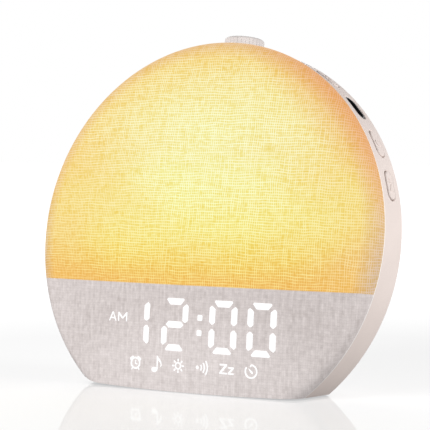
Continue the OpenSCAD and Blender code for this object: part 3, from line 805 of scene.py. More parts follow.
class Finish(Enum):
    """The finishes, by the record's material slot."""

    # The rim's paler lip colour is a painted highlight.
    rim_plastic = MouldedFinish(
        "rim_plastic", shade(230, 217, 211), 0.6, 1.0, specular=0.1, lip_colour=shade(252, 249, 247)
    )
    cover_plastic = MouldedFinish("cover_plastic", shade(229, 221, 218), 0.52)
    base_plastic = MouldedFinish("base_plastic", shade(206, 198, 195), 0.58)
    dial_plastic = MouldedFinish("dial_plastic", shade(220, 213, 210), 0.6, 1.0, specular=0.1)
    knob_plastic = MouldedFinish("knob_plastic", shade(58, 62, 70), 0.45)
    black_plastic = MouldedFinish("black_plastic", shade(26, 27, 31), 0.3, 3.0)
    white_plastic = MouldedFinish("white_plastic", shade(240, 240, 238), 0.45)
    mask_plastic = MouldedFinish("mask_plastic", shade(92, 90, 88), 0.6)
    cable_plastic = MouldedFinish("cable_plastic", shade(214, 214, 214), 0.5)
    wire_red = MouldedFinish("wire_red", shade(176, 34, 30), 0.45)
    opal_plastic = MilkyFinish("opal_plastic", shade(250, 247, 240))
    light_guide = MilkyFinish("light_guide", shade(250, 250, 250), 0.2)
    led = MilkyFinish("led", shade(252, 222, 120), 0.3)
    rubber = RubberFinish("rubber", shade(84, 82, 82))
    steel = MetalFinish("steel", (0.62, 0.62, 0.63))
    circuit_board = BoardFinish("circuit_board", shade(20, 92, 56), shade(34, 118, 74))
    white_board = BoardFinish("white_board", shade(238, 238, 238), shade(226, 226, 226))
    speaker_paper = PaperFinish("speaker_paper", shade(44, 44, 46))
    fabric = LinenFinish()
    glyph = GlyphFinish()

    def material(self) -> bpy.types.Material:
        """The finish's one material, made when it is first asked for."""
        found = bpy.data.materials.get(self.value.name + "_finish")
        if found is None:
            found = self.value.material()
            found.name = self.value.name + "_finish"
        return found


# ---- mesh work


class Skin:
    """A mesh in the making: rings of points and the faces between them, in the face frame."""

    def __init__(self) -> None:
        """Starts with no points."""
        self.points: list[Point3] = []
        self.faces: list[tuple[int, ...]] = []

    def ring(self, points: Iterable[Sequence[float]]) -> list[int]:
        """Adds points.

        Args:
            points: The points.

        Returns:
            Their numbers.
        """
        first = len(self.points)
        self.points.extend(tuple(p) for p in points)
        return list(range(first, len(self.points)))

    def join(self, a: Sequence[int], b: Sequence[int], closed: bool = True) -> None:
        """Joins two rows of as many points with four-sided faces.

        Args:
            a, b: The rows.
            closed: Whether they run round.
        """
        count = len(a)
        for i in range(count if closed else count - 1):
            j = (i + 1) % count
            self.faces.append((a[i], a[j], b[j], b[i]))

    def fan(self, ring: Sequence[int], tip: int) -> None:
        """Closes a ring onto a point."""
        for i, a in enumerate(ring):
            self.faces.append((a, ring[(i + 1) % len(ring)], tip))

    def stack(self, rings: Sequence[Sequence[int]], capped: bool = True) -> None:
        """Joins each ring to the next.

        Args:
            rings: The rings, in order.
            capped: Whether the first and the last get a face each.
        """
        for a, b in zip(rings, rings[1:]):
            self.join(a, b)
        if capped:
            self.faces += [tuple(rings[0]), tuple(rings[-1])]

    def zip(self, ring: Sequence[int]) -> None:
        """Closes a long ring across its width."""
        half = len(ring) // 2
        for i in range(half - 1):
            a, b = ring[i], ring[i + 1]
            c, d = ring[(-1 - i) % len(ring)], ring[(-2 - i) % len(ring)]
            self.faces.append((a, b, d, c))

    def merged(self, other: "Skin") -> "Skin":
        """Takes in another mesh's points and faces.

        Args:
            other: The other mesh.

        Returns:
            This mesh.
        """
        shift = len(self.points)
        self.points.extend(other.points)
        self.faces.extend(tuple(i + shift for i in f) for f in other.faces)
        return self

    def mesh(self, name: str, placed: bool = True) -> bpy.types.Mesh:
        """The bare mesh.

        Args:
            name: The mesh's name.
            placed: False where the points are already in metres in the part's frame.

        Returns:
            The mesh.
        """
        at = np.array(self.points)
        mesh = bpy.data.meshes.new(name)
        mesh.from_pydata((FACE.place(at) if placed else at).tolist(), [], self.faces)
        return mesh

    def build(self, name: str, placed: bool = True) -> Object:
        """Makes the object, with coinciding points joined and its faces outwards.

        Args:
            name: The piece's name.
            placed: False where the points are already in metres in the part's frame.

        Returns:
            The object.
        """
        mesh = self.mesh(name, placed)
        outwards(mesh, weld=1e-7)
        return added(name, mesh)


def outwards(mesh: bpy.types.Mesh, weld: float = 0.0) -> None:
    """Turns a mesh's faces outwards.

    Args:
        mesh: The mesh.
        weld: Points closer than this, in metres, are joined first.
    """
    shell = bmesh.new()
    shell.from_mesh(mesh)
    if weld:
        bmesh.ops.remove_doubles(shell, verts=shell.verts, dist=weld)
    bmesh.ops.recalc_face_normals(shell, faces=shell.faces)
    shell.to_mesh(mesh)
    shell.free()


def added(name: str, data: bpy.types.ID) -> Object:
    """Adds an object with its data to the scene.

    Args:
        name: The object's name.
        data: Its mesh or curve.

    Returns:
        The object.
    """
    made = bpy.data.objects.new(name, data)
    bpy.context.scene.collection.objects.link(made)
    return made


def revolve(outline: Sequence[Point2], count: int = 256, axis: Put | None = None) -> Skin:
    """Turns a closed outline of radius and height round an axis.

    Args:
        outline: Radius and height of each point. A radius of zero is a pole.
        count: How many steps a turn has.
        axis: Places radius cosine, radius sine and height. Left out, it is the face's own axis.

    Returns:
        The closed mesh.
    """
    put = axis or (lambda x, y, z: (x, y, z))
    skin = Skin()
    rings: list[list[int]] = []
    turns = [2 * math.pi * i / count for i in range(count)]
    for r, h in outline:
        if r < 1e-6:
            rings.append(skin.ring([put(0, 0, h)]) * count)
        else:
            rings.append(skin.ring(put(r * math.cos(a), r * math.sin(a), h) for a in turns))
    for a, b in zip(rings, rings[1:] + rings[:1]):
        for i in range(count):
            j = (i + 1) % count
            face = tuple(dict.fromkeys((a[i], a[j], b[j], b[i])))
            if len(face) > 2:
                skin.faces.append(face)
    return skin


def shifted(dx: float, dy: float) -> Put:
    """Places a turned point round an axis beside the face's own one."""
    return lambda x, y, h: (dx + x, dy + y, h)


def flattened(made: Object, name: str | None = None) -> Object:
    """Turns an object with modifiers into a plain one, and removes the first.

    Args:
        made: The object with modifiers.
        name: The new object's name. Left out, it keeps the old one.

    Returns:
        The plain object.
    """
    name = name or made.name
    made.name += "_source"
    evaluated = made.evaluated_get(bpy.context.evaluated_depsgraph_get())
    mesh = bpy.data.meshes.new_from_object(evaluated)
    mesh.name = name
    plain = added(name, mesh)
    bpy.data.objects.remove(made)
    return plain


def carve(
    target: Object,
    cutters: Sequence[Object],
    how: str = "DIFFERENCE",
    name: str | None = None,
) -> Object:
    """Cuts, joins or keeps the common part of solids.

    Args:
        target: The object to work on.
        cutters: The solids to work with, which are removed.
        how: DIFFERENCE, UNION or INTERSECT.
        name: The result's name. Left out, it keeps the target's.

    Returns:
        The plain result.
    """
    for cutter in cutters:
        step = target.modifiers.new("carve", "BOOLEAN")
        step.operation = how
        step.solver = "EXACT"
        step.use_self = cutter.name.startswith("loose")
        step.object = cutter
    result = flattened(target, name)
    for cutter in cutters:
        bpy.data.objects.remove(cutter)
    return result


def smooth(made: Object, angle: float = 32.0) -> Object:
    """Shades an object smooth.

    Args:
        made: The object.
        angle: Edges sharper than this, in degrees, stay sharp.

    Returns:
        The object.
    """
    mesh = made.data
    mesh.polygons.foreach_set("use_smooth", [True] * len(mesh.polygons))
    mesh.set_sharp_from_angle(angle=math.radians(angle))
    mesh.update()
    return made


def dressed(
    made: Object,
    finish: Finish,
    body: str,
    replaces: Sequence[str] = (),
    slot: str | None = None,
    angle: float = 32.0,
) -> Object:
    """Gives a finished piece its material and its body, and hides the CAD nodes that it stands for.

    Args:
        made: The piece.
        finish: Its finish.
        body: The CAD body that it rides on.
        replaces: The CAD nodes that it stands for.
        slot: The record's material slot, where it isn't the finish's own name; not used.
        angle: The angle past which its edges stay sharp.

    Returns:
        The piece.
    """
    smooth(made, angle)
    made.data.materials.clear()
    made.data.materials.append(finish.material())
    made.data.polygons.foreach_set("material_index", [0] * len(made.data.polygons))
    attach(made, body)
    slot or finish.name
    if replaces:
        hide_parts(*replaces)
    LOG.info("%s: %d faces", made.name, len(made.data.polygons))
    return made


def slab(low: float, high: float, name: str, span: float = 300.0) -> Object:
    """A wide level block between two heights above the table, in millimetres.

    Args:
        low, high: The heights.
        name: The block's name.
        span: Half its width.

    Returns:
        The block.
    """
    skin = Skin()
    around = ((-1, -1), (1, -1), (1, 1), (-1, 1))
    skin.stack([skin.ring((x * span * MM, y * span * MM, z * MM) for x, y in around) for z in (low, high)])
    return skin.build(name, placed=False)


def stadium(length: float, width: float, count: int = 20) -> list[Point2]:
    """Outline of a bar with round ends, long along its second axis.

    Args:
        length, width: Its size.
        count: Steps of each round end.

    Returns:
        The outline.
    """
    r, half = width / 2, (length - width) / 2
    top = arc((0, half), r, 0, 180, count)
    bottom = arc((0, -half), r, 180, 360, count)
    return top + bottom


def rounded_box(half_x: float, half_y: float, radius: float, steps: int = 5) -> list[Point2]:
    """Outline of a rectangle with rounded corners."""
    corners = ((1, 1, 0), (-1, 1, 90), (-1, -1, 180), (1, -1, 270))
    return [
        p
        for sx, sy, a in corners
        for p in arc((sx * (half_x - radius), sy * (half_y - radius)), radius, a, a + 90, steps)
    ]


def moved(at: Point2, *points: Point2) -> tuple[Point2, ...]:
    """Points given round a place, moved there."""
    return tuple((at[0] + x, at[1] + y) for x, y in points)


# ---- the cloth face


@dataclass
class ClothFace:
    """The linen stretched over the dome, closed at the rim and at the base."""

    thickness: float = 0.8
    columns: int = 324
    rows: int = 92
    edge_rows: int = 26
    hem: Point3 = (1.2, 0.2, 0.9)
    tuck: float = 1.3
    tuck_from: float = 0.8
    edge_share: float = 0.11
    flat_half: float = field(default=0.0, init=False)
    flat_drop: float = field(default=0.0, init=False)

    def reach(self, turn: float, inset: float, floor: float) -> float:
        """Length along the outline, from the middle, to the rim or to the base.

        Args:
            turn: Direction across the face, in radians.
            inset: How far the surface lies inside the cloth's outside.
            floor: Height of the base plane.

        Returns:
            The length in millimetres.
        """

        def height(s: float) -> float:
            """Height of the outline's point at a length."""
            r, w = DOME.at(s, inset)
            return FACE.height(r * math.sin(turn), w)

        if height(DOME.length) >= floor:
            return DOME.length
        low, high = 0.0, DOME.length
        for _ in range(60):
            middle = (low + high) / 2
            low, high = (middle, high) if height(middle) > floor else (low, middle)
        return (low + high) / 2

    def hem_height(self, turn: float) -> float:
        """Height of the hem above the table: lowest in the middle, and tucked up at its left end.

        Args:
            turn: Direction across the face, in radians.

        Returns:
            The height in millimetres.
        """
        left, middle, right = self.hem
        level = FACE.base_y
        half = math.sqrt(DOME.outer**2 - level**2)
        along = min(1.0, abs(level * math.cos(turn)) / max(1e-6, abs(math.sin(turn))) / half)
        tucked = max(0.0, along - self.tuck_from) / (1 - self.tuck_from)
        end = right if math.cos(turn) > 0 else left + self.tuck * tucked**2
        return middle + (end - middle) * along * along

    def turns(self) -> list[float]:
        """Directions of the columns, with one on each corner of the base."""
        corner = math.asin(FACE.base_y / (DOME.edge_c + DOME.edge_r))
        span = math.pi - 2 * abs(corner)
        lower = max(60, int(self.columns * span / (2 * math.pi)))
        upper = self.columns - lower
        start = -math.pi - corner
        bottom = [start + span * i / lower for i in range(lower)]
        top = [corner + (2 * math.pi - span) * i / upper for i in range(upper)]
        return bottom + top

    def shares(self) -> list[float]:
        """Places of the rows along a column, closer together at its outer end."""
        inner = self.rows - self.edge_rows
        rest = 1 - self.edge_share
        first = [rest * (i + 1) / inner for i in range(inner)]
        return first + [rest + self.edge_share * (i + 1) / self.edge_rows for i in range(self.edge_rows)]

    def layer(
        self, skin: Skin, inset: float, shares: Sequence[float]
    ) -> tuple[list[list[int]], int, list[Point2]]:
        """Adds one side of the cloth.

        Args:
            skin: The mesh.
            inset: How far this side lies inside the outside.
            shares: Places of the rows.

        Returns:
            The rows of points, the middle point and the map place of each point.
        """
        turns = self.turns()
        ends = [self.reach(t, inset, self.hem_height(t)) for t in turns]
        marks: list[Point2] = []
        rows: list[list[int]] = []
        for share in shares:
            points = []
            for turn, end in zip(turns, ends):
                s = end * share
                r, w = DOME.at(s, inset)
                points.append((r * math.cos(turn), r * math.sin(turn), w))
                marks.append((s * math.cos(turn), s * math.sin(turn)))
            rows.append(skin.ring(points))
        (middle,) = skin.ring([(0, 0, DOME.at(0, inset)[1])])
        marks.append((0.0, 0.0))
        return rows, middle, marks

    def build(self) -> Object:
        """Makes the cloth as one closed sheet."""
        skin = Skin()
        shares = self.shares()
        outer, tip, marks = self.layer(skin, 0.0, shares)
        area = self.area(skin, outer)
        inner, inner_tip, inner_marks = self.layer(skin, self.thickness, shares)
        marks += inner_marks
        for rows, middle in ((outer, tip), (inner, inner_tip)):
            skin.stack(rows, capped=False)
            skin.fan(rows[0], middle)
        skin.join(outer[-1], inner[-1])
        self.flat_half = max(m[0] for m in marks)
        self.flat_drop = max(m[1] for m in marks) - min(m[1] for m in marks)
        mesh = skin.mesh("cloth_face")
        chart = mesh.uv_layers.new(name=CLOTH_MAP)
        at = np.array(marks) / CLOTH_SPAN_MM + 0.5
        corners = np.zeros(len(mesh.loops), np.int32)
        mesh.loops.foreach_get("vertex_index", corners)
        chart.data.foreach_set("uv", at[corners].astype(np.float32).ravel())
        outwards(mesh)
        made = added("cloth_face", mesh)
        dressed(made, Finish.fabric, "clock", ["fabric_cover"], angle=50.0)
        LOG.info("cloth cut to %.0f by %.0f mm, %.0f mm2", 2 * self.flat_half, self.flat_drop, area)
        return made

    @staticmethod
    def area(skin: Skin, rows: Sequence[Sequence[int]]) -> float:
        """Area of one side of the cloth, in square millimetres.

        Args:
            skin: The mesh.
            rows: That side's rows of points.

        Returns:
            The area.
        """
        points = np.array(skin.points)
        total = 0.0
        for a, b in zip(rows, rows[1:]):
            p, q = points[a], points[b]
            across = np.roll(p, -1, 0) - p
            along = q - p
            total += np.linalg.norm(np.cross(across, along), axis=1).sum()
        return float(total)


# ---- the display


@dataclass(frozen=True)
class Shape:
    """A flat shape: an outline with holes, on the face."""

    outline: tuple[Point2, ...]
    holes: tuple[tuple[Point2, ...], ...] = ()

    def prism(self, skin: Skin, low: float, high: float) -> None:
        """Adds the shape as a prism between two heights of the face frame.

        Args:
            skin: The mesh that takes it.
            low, high: The heights.
        """
        loops = [self.outline, *self.holes]
        for loop in loops:
            skin.join(*[skin.ring((x, y, w) for x, y in loop) for w in (low, high)])
        flat = [p for loop in loops for p in loop]
        triangles = tessellate_polygon([[Vector((x, y, 0)) for x, y in loop] for loop in loops])
        for w in (low, high):
            ring = skin.ring((x, y, w) for x, y in flat)
            skin.faces += [tuple(ring[i] for i in tri) for tri in triangles]


def circle(centre: Point2, radius: float, count: int = 40) -> tuple[Point2, ...]:
    """Outline of a circle."""
    return tuple(arc(centre, radius, 0, 360 - 360 / count, count - 1))


def bar(start: Point2, end: Point2, width: float, round_ends: bool = False) -> Shape:
    """A straight stroke between two points.

    Args:
        start, end: The points.
        width: Its width.
        round_ends: Whether its ends are round.

    Returns:
        The stroke.
    """
    (x0, y0), (x1, y1) = start, end
    length = math.hypot(x1 - x0, y1 - y0)
    turn = math.degrees(math.atan2(y1 - y0, x1 - x0))
    half = width / 2
    if round_ends:
        loop = arc(end, half, turn - 90, turn + 90, 10) + arc(start, half, turn + 90, turn + 270, 10)
        return Shape(tuple(loop))
    nx, ny = -(y1 - y0) / length * half, (x1 - x0) / length * half
    return Shape(((x0 - nx, y0 - ny), (x1 - nx, y1 - ny), (x1 + nx, y1 + ny), (x0 + nx, y0 + ny)))


def band(centre: Point2, radius: float, width: float, start: float, end: float) -> Shape:
    """A stroke along an arc.

    Args:
        centre, radius: The arc's.
        width: Its width.
        start, end: Angles in degrees.

    Returns:
        The stroke.
    """
    outer = arc(centre, radius + width / 2, start, end, 28)
    inner = arc(centre, radius - width / 2, end, start, 28)
    return Shape(tuple(outer + inner))


def ring_shape(centre: Point2, radius: float, width: float) -> Shape:
    """A full ring."""
    return Shape(circle(centre, radius + width / 2), (circle(centre, radius - width / 2),))


@dataclass
class Display:
    """The lit strokes of the display, each a thin patch that follows the cloth."""

    digit_x: tuple[float, ...] = (-25.5, -5.1, 19.3, 37.9)
    digit_y: float = -40.1
    half_w: float = 5.4
    half_h: float = 10.0
    stroke: float = 2.95
    gap: float = 1.0
    proud: float = 0.07
    sunk: float = 0.1
    colon: tuple[Point2, ...] = ((7.75, -36.6), (7.65, -43.1))
    colon_box: Point2 = (1.25, 0.5)
    half_day_at: tuple[Point2, Point2] = ((-39.1, -40.0), (-33.525, -40.0))
    icon_y: float = -57.8
    film_x: Point2 = (-46.0, 51.0)
    film_y: Point2 = (-65.0, -22.0)

    SEGMENTS = {"1": "bc", "2": "abged", "0": "abcdef"}

    def across(self, cx: float, cy: float, side: int) -> Shape:
        """A level stroke.

        Args:
            cx, cy: Its middle.
            side: 1 at the top, -1 at the bottom and 0 between them.

        Returns:
            The stroke.
        """
        t, long = self.stroke / 2 * 0.96, self.half_w - self.gap + 0.25
        if side == 0:
            pts = [(-long, 0), (-long + t, t), (long - t, t), (long, 0), (long - t, -t), (-long + t, -t)]
        else:
            right = [
                (long - 0.55, t), (long - 0.1, t * 0.55), (long - t * 1.15, -t * 0.8), (long - t * 1.45, -t),
            ]
            left = [(-x, y) for x, y in right[::-1]]
            pts = [(x, y * side) for x, y in left[2:] + right + left[:2]]
        return Shape(moved((cx, cy), *(pts if side >= 0 else pts[::-1])))

    def upright(self, cx: float, cy: float, outward: int, up: int) -> Shape:
        """An upright stroke.

        Args:
            cx, cy: Its middle.
            outward: The side its long edge is on.
            up: The end that meets a corner.

        Returns:
            The stroke.
        """
        t, long = self.stroke / 2, self.half_h / 2 - self.gap + 0.05
        pts = [
            (t, long - 0.95), (t - 0.75, long - 0.15), (t - 1.15, long), (-t + 0.75, long - 0.75),
            (-t, long - 1.45), (-t, -long + 1.0), (-t + 1.0, -long + 0.05), (t - 1.2, -long),
            (t - 0.1, -long + 1.05), (t, -long + 1.3),
        ]
        return Shape(moved((cx, cy), *((outward * x, up * y) for x, y in pts)))

    def digit(self, text: str, x: float) -> list[Shape]:
        """The strokes of one digit.

        Args:
            text: The digit.
            x: Where its middle is.

        Returns:
            The strokes.
        """
        y, w, h = self.digit_y, self.half_w, self.half_h
        strokes = {
            "a": self.across(x, y + h, 1),
            "g": self.across(x, y, 0),
            "d": self.across(x, y - h, -1),
            "b": self.upright(x + w, y + h / 2, 1, 1),
            "c": self.upright(x + w, y - h / 2, 1, -1),
            "f": self.upright(x - w, y + h / 2, -1, 1),
            "e": self.upright(x - w, y - h / 2, -1, -1),
        }
        return [strokes[s] for s in self.SEGMENTS[text]]

    def digits(self) -> list[Shape]:
        """All strokes of the time, with its colon."""
        shapes = [s for text, x in zip("1200", self.digit_x) for s in self.digit(text, x)]
        half, cut = self.colon_box
        return shapes + [Shape(moved(at, *rounded_box(half, half, cut, 4))) for at in self.colon]

    def half_day(self) -> list[Shape]:
        """The two letters that tell morning from evening."""
        at, middle = self.half_day_at
        a = Shape(
            moved(at, (-2.15, 0.0), (-1.5, 0.0), (-1.05, 1.05), (1.05, 1.05), (1.5, 0.0), (2.15, 0.0),
                  (0.36, 4.05), (-0.36, 4.05)),
            (moved(at, (-0.78, 1.65), (0.0, 3.35), (0.78, 1.65)),),
        )
        left = [(-2.025, 4.0), (-2.575, 4.0), (-2.575, 0.0), (-1.955, 0.0), (-1.955, 2.75), (-0.28, 1.15)]
        right = [(-x, y) for x, y in left[::-1]]
        return [a, Shape(moved(middle, *left[2:], *right, (0.0, 1.85), *left[:2]))]

    def alarm(self, x: float) -> list[Shape]:
        """A small alarm clock.

        Args:
            x: Where its middle is.

        Returns:
            Its strokes.
        """
        y = self.icon_y - 0.1
        shapes = [ring_shape((x, y), 2.3, 0.75)]
        for s in (-1, 1):
            shapes.append(bar((x + s * 1.55, y + 2.35), (x + s * 2.45, y + 1.75), 1.25, True))
            shapes.append(bar((x + s * 1.5, y - 2.0), (x + s * 1.95, y - 2.75), 0.62, True))
        shapes.append(bar((x, y + 1.35), (x, y - 0.25), 0.5))
        shapes.append(bar((x - 0.25, y - 0.1), (x + 1.1, y - 0.55), 0.5))
        return shapes

    def note(self, x: float) -> list[Shape]:
        """A quaver.

        Args:
            x: Where its middle is.

        Returns:
            Its strokes.
        """
        at = (x, self.icon_y)
        turns = [2 * math.pi * i / 28 for i in range(28)]
        tilted = [(math.cos(a), math.sin(a)) for a in turns]
        head = [(-1.35 + 1.568 * c - 0.25 * s, -2.35 + 1.1 * s + 0.25 * c) for c, s in tilted]
        stem = [(-0.25, -2.3), (0.42, -2.3), (0.42, 3.6), (-0.25, 3.6)]
        flag = [
            (0.1, 1.9), (0.95, 1.5), (1.55, 0.95), (1.95, 0.0), (1.75, -0.95), (2.15, -1.15),
            (2.5, -0.2), (2.3, 1.1), (1.5, 2.2), (0.62, 3.0), (0.1, 3.6),
        ]
        return [Shape(moved(at, *loop)) for loop in (head, stem, flag)]

    def sun(self, x: float) -> list[Shape]:
        """A sun with eight short rays.

        Args:
            x: Where its middle is.

        Returns:
            Its strokes.
        """
        y = self.icon_y
        shapes = [ring_shape((x, y), 1.35, 0.68)]
        for i in range(8):
            a = math.radians(45 * i)
            c, s = math.cos(a), math.sin(a)
            shapes.append(bar((x + 2.25 * c, y + 2.25 * s), (x + 2.78 * c, y + 2.78 * s), 0.72, True))
        return shapes

    def waves(self, x: float) -> list[Shape]:
        """Sound waves, for the wireless speaker.

        Args:
            x: Where its middle is.

        Returns:
            Its strokes.
        """
        y = self.icon_y
        shapes = [Shape(circle((x - 2.6, y), 0.75, 24))]
        for r in (2.05, 3.55, 5.05):
            shapes.append(band((x - 2.6, y), r, 0.68, -36, 36))
        return shapes

    def sleep(self, x: float) -> list[Shape]:
        """A large and a small z.

        Args:
            x: Where its middle is.

        Returns:
            Its strokes.
        """
        y = -59.85
        shapes = []
        for x0, wide, tall, t in ((x - 3.35, 3.75, 4.35, 0.72), (x + 0.85, 2.85, 3.2, 0.66)):
            x1, y1 = x0 + wide, y + tall
            slant = t * 1.3
            outline = (
                (x0, y), (x1, y), (x1, y + t), (x0 + slant + 0.25, y + t), (x1, y1 - t), (x1, y1),
                (x0 + 0.1, y1), (x0 + 0.1, y1 - t), (x1 - slant - 0.2, y1 - t), (x0, y + t),
            )
            shapes.append(Shape(outline))
        return shapes

    def timer(self, x: float) -> list[Shape]:
        """A timer: a ring that is open at its upper left, with a hand.

        Args:
            x: Where its middle is.

        Returns:
            Its strokes.
        """
        at = (x, self.icon_y)
        hand = moved(at, (0.95, -0.95), (0.35, -0.9), (-0.35, -0.3), (-1.35, 1.35), (0.3, 0.35), (0.9, -0.35))
        tip = moved(at, (0.05, 2.95), (-0.6, 2.4), (-0.55, 1.75), (0.2, 2.2))
        return [band(at, 2.72, 0.7, -218, 92), Shape(hand), Shape(tip)]

    def icons(self) -> list[Shape]:
        """The row of icons."""
        return (
            self.alarm(-25.35) + self.note(-13.6) + self.sun(-2.5) + self.waves(10.0)
            + self.sleep(21.75) + self.timer(33.7)
        )

    def film(self) -> Object:
        """A thin curved slab that lies in the cloth's surface behind all strokes."""
        skin = Skin()
        xs, ys = np.arange(*self.film_x, 1.0), np.arange(*self.film_y, 1.0)
        grids = [
            [skin.ring((x, y, DOME.height(x, y, inset)) for x in xs) for y in ys]
            for inset in (-self.proud, self.sunk)
        ]
        edges = []
        for grid in grids:
            for a, b in zip(grid, grid[1:]):
                skin.join(a, b, closed=False)
            sides = [row[-1] for row in grid[1:]], [row[0] for row in grid[-2:0:-1]]
            edges.append(grid[0] + sides[0] + grid[-1][-2::-1] + sides[1])
        skin.join(*edges)
        return skin.build("film")

    def piece(self, name: str, shapes: Sequence[Shape]) -> Object:
        """Makes one group of strokes.

        Args:
            name: The piece's name.
            shapes: The strokes.

        Returns:
            The piece.
        """
        skin = Skin()
        for shape in shapes:
            shape.prism(skin, -4.0, 14.0)
        made = carve(self.film(), [skin.build("loose_" + name)], "INTERSECT", name)
        return dressed(made, Finish.glyph, "clock", slot="light_guide")

    def build(self) -> None:
        """Makes the time, the half of the day and the icons."""
        self.piece("display_time", self.digits())
        self.piece("display_half_day", self.half_day())
        self.piece("display_icons", self.icons())


# ---- the casing


@dataclass
class SideControl:
    """One control on the rim's right side. Its own frame runs along the rim and back from the front."""

    angle_deg: float
    depth: float = 9.2
    length: float = 12.6
    width: float = 6.2

    def at(self, along: float, back: float, radius: float) -> Point3:
        """A point of the control's frame at a distance from the clock's axis.

        Args:
            along: Distance along the rim, upwards.
            back: Distance from the centre line towards the back.
            radius: Distance from the clock's axis.

        Returns:
            The point in the face frame.
        """
        a = math.radians(self.angle_deg)
        out = math.sqrt(max(radius * radius - along * along, 0.0))
        return (
            out * math.cos(a) - along * math.sin(a),
            out * math.sin(a) + along * math.cos(a),
            -self.depth - back,
        )

    def loop(self, skin: Skin, grow: float, radius: float, count: int = 20) -> list[int]:
        """Adds a ring of the control's outline, grown by a distance."""
        outline = stadium(self.length + 2 * grow, self.width + 2 * grow, count)
        return skin.ring(self.at(y, x, radius) for x, y in outline)

    def plug(self, gap: float, floor: float, flare: float = 0.45) -> Object:
        """A cutter for the control's opening, with a chamfer where it meets the rim.

        Args:
            gap: Room round the control.
            floor: Radius of its inner end.
            flare: The chamfer's size.

        Returns:
            The cutter.
        """
        r = FACE.rim_r
        steps = [
            (gap, floor), (gap, r - flare), (gap + flare * 0.4, r - flare * 0.35),
            (gap + flare * 1.4, r + flare * 0.3),
        ]
        return self.solid(steps).build("opening")

    def solid(self, steps: Sequence[Point2], fine: int = 5) -> Skin:
        """A closed skin from the control's outline.

        Args:
            steps: How far the outline is grown, and its radius, from the inside out.
            fine: How many rings close the outer end.

        Returns:
            The skin.
        """
        skin = Skin()
        rings = [self.loop(skin, grow, radius) for grow, radius in steps]
        skin.stack(rings, capped=False)
        self.close(skin, rings[0], *steps[0])
        self.close(skin, rings[-1], *steps[-1], fine)
        return skin

    def close(self, skin: Skin, ring: Sequence[int], grow: float, radius: float, steps: int = 5) -> None:
        """Closes a ring of the control's outline with a surface that follows the rim.

        Args:
            skin: The mesh.
            ring: The ring.
            grow, radius: How far it is grown, and its radius.
            steps: How many rings close it.
        """
        last = ring
        inset = self.width / 2 + grow
        for i in range(1, steps + 1):
            nearer = self.loop(skin, grow - inset * 0.97 * i / steps, radius)
            skin.join(last, nearer)
            last = nearer
        skin.zip(last)


SIDE_ANGLES = (17.0, 30.0, 43.0, 56.0)


@dataclass
class DialSeat:
    """Where the dial stands on the rim's top."""

    depth: float = 16.5
    knob_r: float = 9.0
    clearance: float = 0.45
    collar: float = 1.45
    floor_drop: float = 1.6
    collar_rise: float = 0.5
    rise: float = 5.4

    def axis(self, x: float, y: float, h: float) -> Point3:
        """Places a point turned round the dial's axis. Its height is its distance from the clock's axis."""
        return (x, h, -self.depth - y)

    @property
    def seat_r(self) -> float:
        """Radius of the recess that the dial turns in."""
        return self.knob_r + self.clearance

    @property
    def floor(self) -> float:
        """Distance of the recess's floor from the clock's axis."""
        return FACE.rim_r - self.floor_drop


DIAL = DialSeat()


@dataclass
class RimHousing:
    """The front half of the casing, with its openings and the dial's collar."""

    turns: int = 288
    joint_chamfer: float = 0.35

    def outline(self) -> list[Point2]:
        """The shell's closed outline, from its front inner edge outwards."""
        c, rim = CASING, FACE.rim_r
        joint, cut = -c.joint_depth, self.joint_chamfer
        lip = arc((rim - c.lip, -c.lip), c.lip, 90, 0, 8)
        outside = [(c.inner_r, 0.0), *lip, (rim, -8.0), *c.corner(0)]
        back = [
            (c.slope_r(joint + cut), joint + cut),
            (c.slope_r(joint + cut) - cut * 1.2, joint),
            (c.slope_r(joint, c.wall), joint),
        ]
        return outside + back + c.corner(c.wall)[::-1]

    def collar(self) -> Object:
        """The ring that stands round the dial, rounded on top."""
        d = DIAL
        r, top, low = d.seat_r + d.collar, FACE.rim_r + d.collar_rise, FACE.rim_r - 4.0
        outline = [(0.0, low), (r, low), *arc((r - 0.5, top - 0.5), 0.5, 0, 90, 6), (0.0, top)]
        return revolve(outline, 96, d.axis).build("collar")

    def seat(self) -> Object:
        """Cutter for the recess, with a rounded mouth, and for the bushing's bore."""
        d = DIAL
        top = FACE.rim_r + d.collar_rise
        mouth = arc((d.seat_r + 0.4, top - 0.37), 0.4, 180, 100, 5)
        outline = [
            (0.0, d.floor - 6), (3.65, d.floor - 6), (3.65, d.floor), (d.seat_r, d.floor),
            *mouth, (d.seat_r + 0.6, top + 3), (0.0, top + 3),
        ]
        return revolve(outline, 96, d.axis).build("seat")

    def build(self) -> Object:
        """Makes the housing."""
        shell = revolve(self.outline(), self.turns).build("rim_shell")
        shell = carve(shell, [self.collar()], "UNION")
        cutters = [self.seat(), slab(-40.0, FACE.base_gap, "table")]
        for angle in SIDE_ANGLES:
            cutters.append(SideControl(angle).plug(0.4, FACE.rim_r - 9.0))
        made = carve(shell, cutters, name="rim_shell")
        return dressed(made, Finish.rim_plastic, "clock", ["rim_housing"], angle=30.0)


